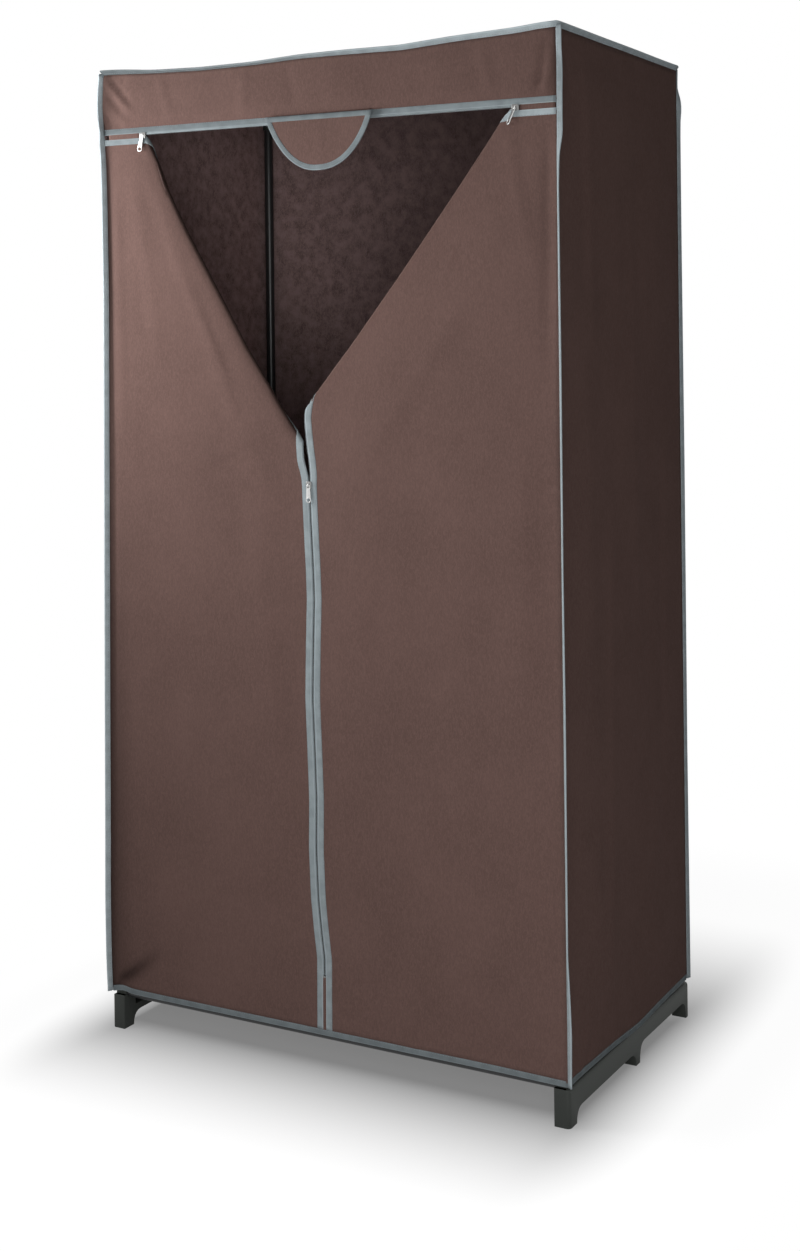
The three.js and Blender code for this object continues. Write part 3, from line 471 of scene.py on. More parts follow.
def new_object(name, points, faces, materials, dark=None):
    """A smooth mesh object from points and faces, at the origin, with painted shade by point if given."""
    mesh = bpy.data.meshes.new(name)
    mesh.from_pydata([tuple(p) for p in points], [], [tuple(f) for f in faces])
    if dark is not None:
        mesh.attributes.new("dark", "FLOAT", "POINT").data.foreach_set("value", np.float32(dark))
    for m in materials:
        mesh.materials.append(m)
    cleaned(mesh, gap=0.00002, sliver=0.00001)
    smoothed(mesh)
    return linked(name, mesh)


def baked(obj):
    """Turns an object with modifiers into a plain mesh."""
    depsgraph = bpy.context.evaluated_depsgraph_get()
    live = obj.evaluated_get(depsgraph)
    mesh = bpy.data.meshes.new_from_object(live, preserve_all_data_layers=True, depsgraph=depsgraph)
    obj.modifiers.clear()
    old = obj.data
    obj.data = mesh
    mesh.name = obj.name
    bpy.data.meshes.remove(old)
    return obj


def grid_faces(rows, columns, closed_rows=False, closed_columns=False):
    """Quads over rows of points, each row having the same number of columns."""
    faces = []
    last_row = rows if closed_rows else rows - 1
    last_column = columns if closed_columns else columns - 1
    for r in range(last_row):
        for c in range(last_column):
            d, e = (r + 1) % rows, (c + 1) % columns
            faces.append((r * columns + c, r * columns + e, d * columns + e, d * columns + c))
    return faces


def cloth_of(name, points, faces, outside, dark=None):
    """A sheet of cloth with its thickness: its outer face towards outside, its inner face in the inner cloth."""
    obj = new_object(name, points, faces, [get_material("cloth"), get_material("cloth inside")], dark)
    facing = sum((p.normal * p.area for p in obj.data.polygons), Vector())
    if facing.dot(Vector(outside)) < 0:
        obj.data.flip_normals()
    wall = obj.modifiers.new("thickness", "SOLIDIFY")
    wall.thickness = bpy.context.scene.wardrobe_cover.thickness
    wall.offset = 0
    wall.use_even_offset = False
    wall.material_offset = 1
    return baked(obj)


def cloth_object(name, rows, outside=(0, -1, 0), dark=None):
    """A sheet of cloth over a grid of points."""
    return cloth_of(name, rows.reshape(-1, 3), grid_faces(*rows.shape[:2]), outside, dark)


def sweep(name, rings, material, loop=False):
    """A solid along rings of points, with a UV map of metres along and around it."""
    rings = np.array(rings, float)
    count, sides = rings.shape[:2]
    mesh = bpy.data.meshes.new(name)
    faces = grid_faces(count, sides, closed_rows=loop, closed_columns=True)
    if not loop:
        faces += [tuple(range(sides))[::-1], tuple(range((count - 1) * sides, count * sides))]
    mesh.from_pydata([tuple(p) for p in rings.reshape(-1, 3)], [], faces)
    mesh.materials.append(material)
    centre = rings.mean(1)
    along = np.concatenate([[0], np.cumsum(np.linalg.norm(np.diff(centre, axis=0), axis=1))])
    around = np.concatenate([[0], np.cumsum(np.linalg.norm(np.diff(rings[0], axis=0), axis=1))])
    uv = mesh.uv_layers.new(name="along")
    total = along[-1] + np.linalg.norm(centre[0] - centre[-1])
    girth = around[-1] + np.linalg.norm(rings[0, 0] - rings[0, -1])
    for polygon in mesh.polygons:
        ids = [mesh.loops[i].vertex_index for i in polygon.loop_indices]
        rows = [v // sides for v in ids]
        spots = [v % sides for v in ids]
        for loop_index, row, spot in zip(polygon.loop_indices, rows, spots):
            u = total if loop and row == 0 and count - 1 in rows else along[row]
            v = girth if spot == 0 and sides - 1 in spots and len(ids) == 4 else around[spot]
            uv.data[loop_index].uv = (u, v)
    mesh.polygons.foreach_set("use_smooth", [len(p.vertices) == 4 for p in mesh.polygons])
    cleaned(mesh)
    return linked(name, mesh)


def joined(name, objects):
    """Several mesh objects made one."""
    with bpy.context.temp_override(
        active_object=objects[0], selected_editable_objects=objects, selected_objects=objects
    ):
        bpy.ops.object.join()
    objects[0].name = name
    objects[0].data.name = name
    return objects[0]


def tape_section(width, thick):
    """Cross-section of folded tape, from its open inner edge to its rounded fold: across and proud."""
    half = thick / 2
    nose = [(width - half + half * math.sin(a), half * math.cos(a)) for a in np.linspace(0, math.pi, 6)]
    face = [(0.0, half * 0.6), (0.5 * MM, half * 0.92), (width * 0.45, half * 1.04), (width - 2.2 * MM, half * 1.02)]
    return [*face, *nose, *((across, -proud) for across, proud in face[::-1])]


def laid_tape(name, lay, width, kind="tape", loop=False):
    """Folded tape from a function of across and proud that gives a line of points; its fold has an attribute of 1."""
    section = tape_section(width, bpy.context.scene.wardrobe_cover.tape_thickness)
    tape = sweep(name, np.stack([lay(across, proud) for across, proud in section], 1), get_material(kind), loop)
    fold = [0.0] * 4 + [1.0] * 6 + [0.0] * 4
    attribute = tape.data.attributes.new("fold", "FLOAT", "POINT")
    attribute.data.foreach_set("value", np.resize(fold, len(tape.data.vertices)).astype(np.float32))
    return tape


def zip_web(name, lay, corner=None):
    """The woven web that carries a row of teeth, laid as a tape is."""
    web = sweep(name, np.stack([lay(across, proud) for across, proud in ZIP_WEB], 1), get_material("zip tape"))
    return finish_piece(web, ROOT, (), corner)


def closed(line, outward):
    """A line and its outward directions, led back to its start."""
    return np.concatenate([line, line[:1]]), np.concatenate([outward, outward[:1]])


def edge_seams(base, ways, sides):
    """The seams on both faces of a standing tape, as lines with their outward directions."""
    thick = bpy.context.scene.wardrobe_cover.tape_thickness
    line = base + ways * EDGE_SEAM
    return [(line + sides * side * thick * EDGE_SEAM_PROUD, sides * side) for side in (1, -1)]


# ---------------------------------------------------------------- rows of stitches and teeth

def row_tree():
    """Geometry Nodes that set small rounded solids at an even pitch along lines."""
    tree = bpy.data.node_groups.new("even row along a line", "GeometryNodeTree")
    face = tree.interface
    face.new_socket(name="Lines", in_out="INPUT", socket_type="NodeSocketGeometry")
    for name, value in (("Pitch", 0.004), ("Length", 0.003), ("Width", 0.0006), ("Height", 0.0005)):
        socket = face.new_socket(name=name, in_out="INPUT", socket_type="NodeSocketFloat")
        socket.default_value = value
        socket.subtype = "DISTANCE"
    face.new_socket(name="Finish", in_out="INPUT", socket_type="NodeSocketMaterial")
    face.new_socket(name="Row", in_out="OUTPUT", socket_type="NodeSocketGeometry")

    def add(kind, inputs=None, **settings):
        """The outputs of a new node."""
        return node(tree, kind, inputs, **settings).outputs

    given = add("NodeGroupInput")
    curve = add("GeometryNodeMeshToCurve", {"Mesh": given["Lines"]})
    spaced = add("GeometryNodeResampleCurve", {"Curve": curve["Curve"], "Length": given["Pitch"]}, mode="LENGTH")
    bead = add("GeometryNodeMeshIcoSphere", {"Radius": 0.5, "Subdivisions": 1})
    size = add("ShaderNodeCombineXYZ", {"X": given["Length"], "Y": given["Width"], "Z": given["Height"]})
    scaled = add("GeometryNodeTransform", {"Geometry": bead["Mesh"], "Scale": size["Vector"]})
    tangent = add("GeometryNodeInputTangent")
    outward = add("GeometryNodeInputNamedAttribute", {"Name": "outward"}, data_type="FLOAT_VECTOR")
    turn = add("FunctionNodeAlignRotationToVector", {"Vector": tangent["Tangent"]}, axis="X")
    sockets = {"Rotation": turn["Rotation"], "Vector": outward["Attribute"]}
    turn = add("FunctionNodeAlignRotationToVector", sockets, axis="Z", pivot_axis="X")
    sockets = {"Points": spaced["Curve"], "Instance": scaled["Geometry"], "Rotation": turn["Rotation"]}
    placed = add("GeometryNodeInstanceOnPoints", sockets)
    real = add("GeometryNodeRealizeInstances", {"Geometry": placed["Instances"]})
    paint = add("GeometryNodeSetMaterial", {"Geometry": real["Geometry"], "Material": given["Finish"]})
    add("NodeGroupOutput", {"Row": paint["Geometry"]})
    return tree


def row_piece(name, lines, pitch, size, material):
    """One object of small solids set along lines. Each line is its points and its outward directions."""
    points, outs, edges = [], [], []
    for line, outward in lines:
        start = len(points)
        points += [tuple(p) for p in line]
        outs += [tuple(o) for o in outward]
        edges += [(i, i + 1) for i in range(start, len(points) - 1)]
    mesh = bpy.data.meshes.new(name)
    mesh.from_pydata(points, edges, [])
    attribute = mesh.attributes.new("outward", "FLOAT_VECTOR", "POINT")
    attribute.data.foreach_set("vector", np.array(outs, np.float32).ravel())
    obj = linked(name, mesh)
    nodes = obj.modifiers.new("row", "NODES")
    nodes.node_group = shared("even row along a line", row_tree)
    values = {"Pitch": pitch, "Length": size[0], "Width": size[1], "Height": size[2], "Finish": material}
    for item in nodes.node_group.interface.items_tree:
        if item.in_out == "INPUT" and item.name in values:
            nodes[item.identifier] = values[item.name]
    baked(obj)
    smoothed(obj.data)
    return obj


def stitching(name, seams, body=ROOT, corner=None):
    """Rows of stitches along seams."""
    pitch = bpy.context.scene.wardrobe_cover.stitch_pitch
    row = row_piece(name, seams, pitch, STITCH, get_material("thread"))
    return finish_piece(row, body, (), corner)


def zip_teeth(name, line, node_names, corner=None):
    """A row of the zip's coil along a line."""
    pitch = bpy.context.scene.wardrobe_cover.teeth_pitch
    row = row_piece(name, [line], pitch, TOOTH, get_material("teeth"))
    return finish_piece(row, ROOT, node_names, corner)


# ---------------------------------------------------------------- materials

def node(tree, kind, inputs=None, **settings):
    """A new node with its settings made and its sockets linked or set."""
    made = tree.nodes.new(kind)
    for key, value in settings.items():
        setattr(made, key, value)
    return fill(tree, made, inputs or {})


def fill(tree, made, inputs):
    """Links or sets a node's sockets."""
    for key, value in inputs.items():
        if isinstance(value, bpy.types.NodeSocket):
            tree.links.new(value, made.inputs[key])
        else:
            made.inputs[key].default_value = value
    return made


def shader_group(name, inputs, outputs):
    """An empty shader node group with named sockets."""
    tree = bpy.data.node_groups.new(name, "ShaderNodeTree")
    for socket, kind, value in inputs:
        made = tree.interface.new_socket(name=socket, in_out="INPUT", socket_type=kind)
        if value is not None:
            made.default_value = value
    for socket, kind in outputs:
        tree.interface.new_socket(name=socket, in_out="OUTPUT", socket_type=kind)
    return tree, tree.nodes.new("NodeGroupInput"), tree.nodes.new("NodeGroupOutput")


def ramp(tree, factor, low, high, low_value=0.0, high_value=1.0):
    """A soft change from one value to another as a factor rises."""
    inputs = {"Value": factor, "From Min": low, "From Max": high, "To Min": low_value, "To Max": high_value}
    return node(tree, "ShaderNodeMapRange", inputs, interpolation_type="SMOOTHSTEP").outputs["Result"]


def noise_node(tree, place, scale, **inputs):
    """Smooth noise."""
    return node(tree, "ShaderNodeTexNoise", {"Vector": place, "Scale": scale, **inputs}).outputs["Fac"]


def times(tree, a, b):
    """A product of two values."""
    return math_node(tree, "MULTIPLY", a, b)


def math_node(tree, operation, a, b=0.0):
    """A sum, product or other function of one or two values."""
    return node(tree, "ShaderNodeMath", {0: a, 1: b}, operation=operation).outputs["Value"]


def felt_group():
    """Pressed fibres: cloudy patches, short hairs and a grid of tiny bonded points."""
    value = "NodeSocketFloat"
    tree, given, out = shader_group(
        "pressed fibres",
        (("Vector", "NodeSocketVector", None), ("Cloud Scale", value, 9.0), ("Fibre Scale", value, 420.0)),
        (("Cloud", value), ("Fibre", value), ("Height", value)),
    )
    vector = given.outputs["Vector"]
    hair_space = node(tree, "ShaderNodeMapping", {"Vector": vector, "Scale": (1.0, 1.0, 0.35)}).outputs["Vector"]
    hair = noise_node(tree, hair_space, given.outputs["Fibre Scale"], Detail=3.0, Distortion=1.4)
    points = node(tree, "ShaderNodeTexVoronoi", {"Vector": vector, "Scale": 620.0, "Randomness": 0.25})
    dimple = ramp(tree, points.outputs["Distance"], 0.15, 0.42)
    fill(tree, out, {
        "Cloud": noise_node(tree, vector, given.outputs["Cloud Scale"], Detail=5.0, Roughness=0.62),
        "Fibre": hair,
        "Height": math_node(tree, "ADD", times(tree, hair, 0.7), times(tree, dimple, 0.5)),
    })
    return tree


def grain_group():
    """Fine moulded or sprayed grain with faint scuffs."""
    value = "NodeSocketFloat"
    tree, given, out = shader_group(
        "fine grain",
        (("Vector", "NodeSocketVector", None), ("Grain Scale", value, 900.0), ("Scuff Scale", value, 40.0)),
        (("Grain", value), ("Scuff", value)),
    )
    vector = given.outputs["Vector"]
    long_way = node(tree, "ShaderNodeMapping", {"Vector": vector, "Scale": (1.0, 0.25, 1.0)}).outputs["Vector"]
    scuff = noise_node(tree, long_way, given.outputs["Scuff Scale"], Detail=6.0, Roughness=0.7)
    fill(tree, out, {
        "Grain": noise_node(tree, vector, given.outputs["Grain Scale"], Detail=2.0),
        "Scuff": ramp(tree, scuff, 0.52, 0.72),
    })
    return tree


def shared(name, build):
    """A node group by its name, built when it is first asked for."""
    return bpy.data.node_groups.get(name) or build()


def use_group(tree, name, build, **values):
    """The outputs of a shared node group at work in a material."""
    inputs = {key.replace("_", " "): value for key, value in values.items()}
    return node(tree, "ShaderNodeGroup", inputs, node_tree=shared(name, build)).outputs


def grain_nodes(tree, place, grain, scuff):
    """Fine grain and scuffs at their two scales."""
    return use_group(tree, "fine grain", grain_group, Vector=place, Grain_Scale=grain, Scuff_Scale=scuff)


def start_material(name, roughness, metallic=0.0):
    """A new material with its tree, its shader and the place on the object."""
    material = bpy.data.materials.new(name)
    material.use_nodes = True
    tree = material.node_tree
    shader = tree.nodes["Principled BSDF"]
    fill(tree, shader, {"Roughness": roughness, "Metallic": metallic})
    return material, tree, shader, node(tree, "ShaderNodeTexCoord").outputs["Object"]


def shade(colour, factor):
    """A colour made darker or paler."""
    return (*(c * factor for c in colour[:3]), 1.0)


def mixed(tree, factor, a, b):
    """A colour between two, by a factor."""
    made = node(tree, "ShaderNodeMix", {"Factor": factor}, data_type="RGBA")
    colours = [k for k, socket in enumerate(made.inputs) if socket.type == "RGBA"]
    fill(tree, made, dict(zip(colours, (a, b))))
    return next(socket for socket in made.outputs if socket.type == "RGBA")


def finish_material(tree, shader, colour, relief, roughness=None, **inputs):
    """Links a material's colour, its relief as height, strength and distance, and its roughness to the shader."""
    height = node(tree, "ShaderNodeBump", dict(zip(("Height", "Strength", "Distance"), relief)))
    sockets = {"Base Color": colour, "Normal": height.outputs["Normal"]}
    if roughness:
        sockets["Roughness"] = ramp(tree, *roughness)
    fill(tree, shader, {**sockets, **{key.replace("_", " "): value for key, value in inputs.items()}})


def cloth_material(name, colour, cloud_share, cloud_scale, fibre_scale, fuzz=0.34, painted_shade_right=False):
    """Matt pressed-fibre cloth with faint clouding, with painted shade from a point attribute and, if asked, painted
    shade that deepens towards the right.
    """
    material, tree, shader, place = start_material(name, 0.93)
    scales = {"Cloud_Scale": cloud_scale, "Fibre_Scale": fibre_scale}
    felt = use_group(tree, "pressed fibres", felt_group, Vector=place, **scales)
    cloud = ramp(tree, felt["Cloud"], 0.30, 0.72)
    tone = mixed(tree, cloud, shade(colour, 1 - cloud_share), shade(colour, 1 + cloud_share))
    tone = mixed(tree, ramp(tree, felt["Fibre"], 0.35, 0.7, 0.0, fuzz), tone, shade(colour, 1.6))
    # Painted shade: the cloth darkened towards a deep brown by a point attribute, where it turns away from the light at
    # folds, edges and creases.
    dark = node(tree, "ShaderNodeAttribute", attribute_name="dark").outputs["Fac"]
    tone = mixed(tree, times(tree, dark, 0.84), tone, shade(colour, 0.14))
    # Painted shade: the inner face darkened from left to right across the wardrobe.
    if painted_shade_right:
        across = node(tree, "ShaderNodeSeparateXYZ", {"Vector": place}).outputs["X"]
        tone = mixed(tree, ramp(tree, across, -0.42, 0.12, 0.0, 0.62), tone, shade(colour, 0.22))
    finish_material(
        tree, shader, tone, (felt["Height"], 0.35, 0.0006), (felt["Fibre"], 0.3, 0.7, 0.97, 0.86),
        Sheen_Weight=0.04, Sheen_Roughness=0.6, Sheen_Tint=(0.55, 0.38, 0.34, 1.0), Specular_IOR_Level=0.05,
    )
    return material


def tape_material(name, colour, left=1.0, right=1.0):
    """Folded woven tape: fine cross ribs, a paler fold and painted light and shade that changes from its left to its
    right.
    """
    material, tree, shader, place = start_material(name, 0.78)
    parts = node(tree, "ShaderNodeSeparateXYZ", {"Vector": node(tree, "ShaderNodeUVMap", uv_map="along").outputs["UV"]})

    def threads(axis, pitch, share):
        """Threads that lie side by side along one way of the tape."""
        wave = math_node(tree, "SINE", times(tree, parts.outputs[axis], math.tau / pitch))
        return times(tree, ramp(tree, wave, -1.0, 1.0), share)

    weave = math_node(tree, "ADD", threads("X", 0.0011, 0.65), threads("Y", 0.0016, 0.35))
    wear = ramp(tree, noise_node(tree, place, 60.0, Detail=4.0), 0.3, 0.7)
    tone = mixed(tree, wear, shade(colour, 0.88), shade(colour, 1.10))
    fold = node(tree, "ShaderNodeAttribute", attribute_name="fold").outputs["Fac"]
    tone = mixed(tree, times(tree, fold, 0.6), tone, shade(colour, 1.5))
    tone = mixed(tree, times(tree, weave, 0.30), tone, shade(colour, 0.58))
    # Painted light and shade: the tape's colour scaled from its left end to its right end across the wardrobe.
    across = node(tree, "ShaderNodeSeparateXYZ", {"Vector": place}).outputs["X"]
    inputs = {"Value": across, "From Min": -HALF_W, "From Max": HALF_W, "To Min": left, "To Max": right}
    painted_light_across = node(tree, "ShaderNodeMapRange", inputs).outputs["Result"]
    tone = node(tree, "ShaderNodeVectorMath", {0: tone, 3: painted_light_across}, operation="SCALE").outputs["Vector"]
    rough = (weave, 0.0, 1.0, 0.72, 0.86)
    finish_material(tree, shader, tone, (weave, 0.5, 0.00025), rough, Specular_IOR_Level=0.06)
    return material


def thread_material(name, colour):
    """Twisted thread."""
    material, tree, shader, place = start_material(name, 0.62)
    twist = noise_node(tree, place, 1800.0, Detail=1.0)
    finish_material(tree, shader, mixed(tree, twist, shade(colour, 0.8), shade(colour, 1.2)), (twist, 0.3, 0.0002))
    return material


def metal_material(name, colour):
    """Bright plated zinc with soft casting ripple, fine scratches and dulled spots."""
    material, tree, shader, place = start_material(name, 0.32, 1.0)
    grain = grain_nodes(tree, place, 2600.0, 380.0)
    tone = mixed(tree, grain["Scuff"], shade(colour, 1.0), shade(colour, 0.78))
    finish_material(tree, shader, tone, (grain["Grain"], 0.12, 0.0002), (grain["Scuff"], 0.0, 1.0, 0.28, 0.46))
    return material


def moulded_material(name, colour):
    """Matt moulded plastic with spark grain, faint scuffs and a little dust."""
    material, tree, shader, place = start_material(name, 0.6)
    grain = grain_nodes(tree, place, 760.0, 34.0)
    dust = ramp(tree, noise_node(tree, place, 16.0, Detail=7.0, Roughness=0.75), 0.42, 0.72, 0.0, 0.55)
    tone = mixed(tree, dust, shade(colour, 0.85), shade(colour, 1.7))
    tone = mixed(tree, times(tree, grain["Scuff"], 0.4), tone, shade(colour, 2.2))
    finish_material(tree, shader, tone, (grain["Grain"], 0.35, 0.0004), (grain["Scuff"], 0.0, 1.0, 0.52, 0.68))
    return material


def paint_material(name, colour):
    """Satin coating on steel tube."""
    material, tree, shader, place = start_material(name, 0.38)
    grain = grain_nodes(tree, place, 420.0, 22.0)
    tone = mixed(tree, grain["Scuff"], shade(colour, 0.9), shade(colour, 1.8))
    finish_material(tree, shader, tone, (grain["Grain"], 0.10, 0.0004), (grain["Scuff"], 0.0, 1.0, 0.34, 0.52))
    return material


def seen_directly(tree):
    """1 where the camera sees a surface by itself or through a reflection, 0 where light only bounces off it."""
    path = node(tree, "ShaderNodeLightPath").outputs
    seen = math_node(tree, "MAXIMUM", path["Is Camera Ray"], path["Is Glossy Ray"])
    return math_node(tree, "MAXIMUM", seen, path["Is Transmission Ray"])


def floor_material(colour):
    """Pale floor that keeps shadows, with a painted soft shadow round the wardrobe's footprint, and meets a white
    background.
    """
    material, tree, shader, place = start_material("studio floor", 0.9)
    shader.inputs["Specular IOR Level"].default_value = 0.0
    seen = seen_directly(tree)
    spot = node(tree, "ShaderNodeSeparateXYZ", {"Vector": place}).outputs

    def above_zero(a, b):
        """One value less another, but never below zero."""
        return math_node(tree, "MAXIMUM", math_node(tree, "SUBTRACT", a, b), 0.0)

    def past(value, edge, reach):
        """How far a value is past an edge, as a share of a reach."""
        return math_node(tree, "DIVIDE", above_zero(value, edge), reach)

    # Painted shadow: the floor's glow is lowered by distance from the wardrobe's footprint, reaching furthest behind,
    # then in front, least to the sides.
    away = node(tree, "ShaderNodeCombineXYZ", {
        "X": past(math_node(tree, "ABSOLUTE", spot["X"]), 0.405, 0.145),
        "Y": past(times(tree, spot["Y"], -1.0), 0.20, 0.34),
        "Z": past(spot["Y"], 0.20, 0.55),
    }).outputs["Vector"]
    away = node(tree, "ShaderNodeVectorMath", {0: away}, operation="LENGTH").outputs["Value"]
    painted_shadow = times(tree, math_node(tree, "POWER", above_zero(1.0, away), 1.5), 0.74)
    open_floor = ramp(tree, away, 0.9, 2.4)
    base = mixed(tree, open_floor, shade(colour, 0.28), (0, 0, 0, 1))
    tree.links.new(mixed(tree, seen, shade(colour, 1.0), base), shader.inputs["Base Color"])
    pale = above_zero(ramp(tree, open_floor, 0.0, 1.0, 0.93, 1.0), painted_shadow)
    glow = node(tree, "ShaderNodeEmission", {"Color": (1, 1, 1, 1), "Strength": times(tree, seen, pale)})
    both = node(tree, "ShaderNodeAddShader", {0: shader.outputs["BSDF"], 1: glow.outputs["Emission"]})
    tree.links.new(both.outputs["Shader"], tree.nodes["Material Output"].inputs["Surface"])
    return material


def get_material(key):
    """The named finish, built when it is first asked for."""
    tones = bpy.context.scene.wardrobe_colours
    builders = {
        "cloth": (cloth_material, tones.cloth, 0.07, 7.0, 430.0),
        "cloth inside": (cloth_material, tones.cloth_inside, 0.42, 48.0, 640.0, 0.7, True),
        # Tape, top tape, corner tape, hem tape and door tape are paler and darker copies of one tape colour with left
        # to right ramps: painted light and shade.
        "tape": (tape_material, tones.tape, 0.62, 1.15),
        "top tape": (tape_material, tones.tape, 0.42, 1.9),
        "corner tape": (tape_material, shade(tones.tape, 1.36), 1.3, 1.15),
        "hem tape": (tape_material, shade(tones.tape, 0.80)),
        "door tape": (tape_material, shade(tones.tape, 1.36), 0.68, 1.30),
        "zip tape": (tape_material, shade(tones.tape, 1.15)),
        "thread": (thread_material, tones.tape),
        "teeth": (thread_material, tones.teeth),
        "metal": (metal_material, tones.metal),
        # A darker copy of the plated metal: painted shade for the slider plates and the zip stop.
        "dull metal": (metal_material, shade(tones.metal, 0.40)),
        "moulding": (moulded_material, tones.moulding),
        "tube": (paint_material, tones.tube),
    }
    build, *values = builders[key]
    return bpy.data.materials.get(key) or build(key, *values)


# ---------------------------------------------------------------- settings

class WardrobeCover(bpy.types.PropertyGroup):
    """Sizes of the cover that a user may change."""
    thickness: FloatProperty(
        name="Cloth thickness", description="Thickness of the cover's cloth",
        default=0.0010, unit="LENGTH",
    )
    billow: FloatProperty(
        name="Billow", description="How far a hanging panel stands proud of its edges",
        default=0.0035, unit="LENGTH",
    )
    fold_height: FloatProperty(
        name="Fold height", description="Height of the slow folds in the hanging cloth",
        default=0.0060, unit="LENGTH",
    )
    tape_thickness: FloatProperty(
        name="Tape thickness", description="Thickness of the folded tape on the cloth",
        default=0.0024, unit="LENGTH",
    )
    stitch_pitch: FloatProperty(
        name="Stitch pitch", description="Distance from one stitch to the next",
        default=0.0045, unit="LENGTH",
    )
    teeth_pitch: FloatProperty(
        name="Zip pitch", description="Distance from one turn of the zip's coil to the next",
        default=0.0018, unit="LENGTH",
    )
    panel_step: FloatProperty(
        name="Panel step", description="Distance between the points of a cloth panel",
        default=0.009, unit="LENGTH",
    )


class WardrobeColours(bpy.types.PropertyGroup):
    """Colours of the wardrobe's materials."""
    cloth: FloatVectorProperty(
        name="Cloth", description="Cover cloth, outer face",
        subtype="COLOR", size=4, default=(0.150, 0.092, 0.080, 1.0),
    )
    # The inner face is paler than the outer face: partly its own colour, partly painted light for the little light that
    # reaches inside.
    cloth_inside: FloatVectorProperty(
        name="Cloth inside", description="Cover cloth, inner face",
        subtype="COLOR", size=4, default=(0.290, 0.196, 0.188, 1.0),
    )
    tape: FloatVectorProperty(
        name="Tape", description="Binding tape",
        subtype="COLOR", size=4, default=(0.272, 0.312, 0.328, 1.0),
    )
    teeth: FloatVectorProperty(
        name="Zip coil", description="Coil of the zips",
        subtype="COLOR", size=4, default=(0.30, 0.34, 0.355, 1.0),
    )
    metal: FloatVectorProperty(
        name="Zip metal", description="Plated sliders and pulls",
        subtype="COLOR", size=4, default=(0.58, 0.58, 0.57, 1.0),
    )
    moulding: FloatVectorProperty(
        name="Moulding", description="Moulded plastic rails and connectors",
        subtype="COLOR", size=4, default=(0.030, 0.033, 0.029, 1.0),
    )
    tube: FloatVectorProperty(
        name="Tube", description="Coated steel tubes",
        subtype="COLOR", size=4, default=(0.028, 0.029, 0.030, 1.0),
    )
    floor: FloatVectorProperty(
        name="Floor", description="Studio floor",
        subtype="COLOR", size=4, default=(0.80, 0.80, 0.81, 1.0),
    )


class WardrobeStudio(bpy.types.PropertyGroup):
    """Light of the studio."""
    key: FloatProperty(
        name="Key light", description="Power of the soft light from the front left",
        default=15.8, min=0.0,
    )
    fill: FloatProperty(
        name="Surround light", description="Strength of the even light around",
        default=0.065, min=0.0,
    )
    opening: FloatProperty(
        name="Front fill", description="Power of the soft light from the front right",
        default=15.8, min=0.0,
    )
    overhead: FloatProperty(
        name="Overhead light", description="Power of the soft light above the roof",
        default=5.0, min=0.0,
    )
    behind: FloatProperty(
        name="Back light", description="Power of the soft light behind the wardrobe",
        default=14.0, min=0.0,
    )


SETTINGS = {"wardrobe_cover": WardrobeCover, "wardrobe_colours": WardrobeColours, "wardrobe_studio": WardrobeStudio}


# ---------------------------------------------------------------- walls, roof and shelf

def even(low, high, step):
    """Even places between two ends, about a step apart."""
    return np.linspace(low, high, max(2, int(round(abs(high - low) / step)) + 1))


def hang(a, b, held, seed):
    """How far a hanging panel stands proud, from the distances to its held edges."""
    cover = bpy.context.scene.wardrobe_cover
    free = np.ones_like(a)
    for distance in held:
        free = free * smooth(distance, 0.006, 0.12)
    points = np.stack([a.ravel(), np.full(a.size, seed), b.ravel()], 1)
    slow = swell(points, seed, 0.17, cover.fold_height * 0.75).reshape(a.shape)
    fine = swell(points, seed + 3, 0.06, cover.fold_height * 0.22).reshape(a.shape)
    return (cover.billow + slow + fine) * free


SIDE_CREASES = (
    ((-0.205, 0.070), (-0.165, 0.120), 3.0, 2.4),
    ((-0.190, 0.068), (-0.120, 0.140), 6.0, -1.8),
    ((-0.150, 1.58), (-0.120, 1.10), 16.0, 1.6),
    ((0.020, 1.56), (0.040, 0.70), 20.0, 1.8),
    ((0.150, 1.20), (0.130, 0.20), 18.0, -1.8),
    ((-0.060, 0.90), (-0.090, 0.10), 16.0, 1.4),
    ((-0.225, 1.57), (-0.195, 1.50), 5.0, -1.8),
)


def wall(name, node_name, a, b, place, held, seed, outside, rows=()):
    """One hanging panel of the cover."""
    step = bpy.context.scene.wardrobe_cover.panel_step
    across, up = np.meshgrid(even(*a, step), even(*b, step))
    proud = hang(across, up, held(across, up), seed)
    proud += creases(rows, across, up, smooth(a[1] - np.abs(across), 0.0, 0.02))
    panel = cloth_object(name, settle(np.stack(place(across, up, proud), -1)), outside)
    return finish_piece(panel, ROOT, [node_name])


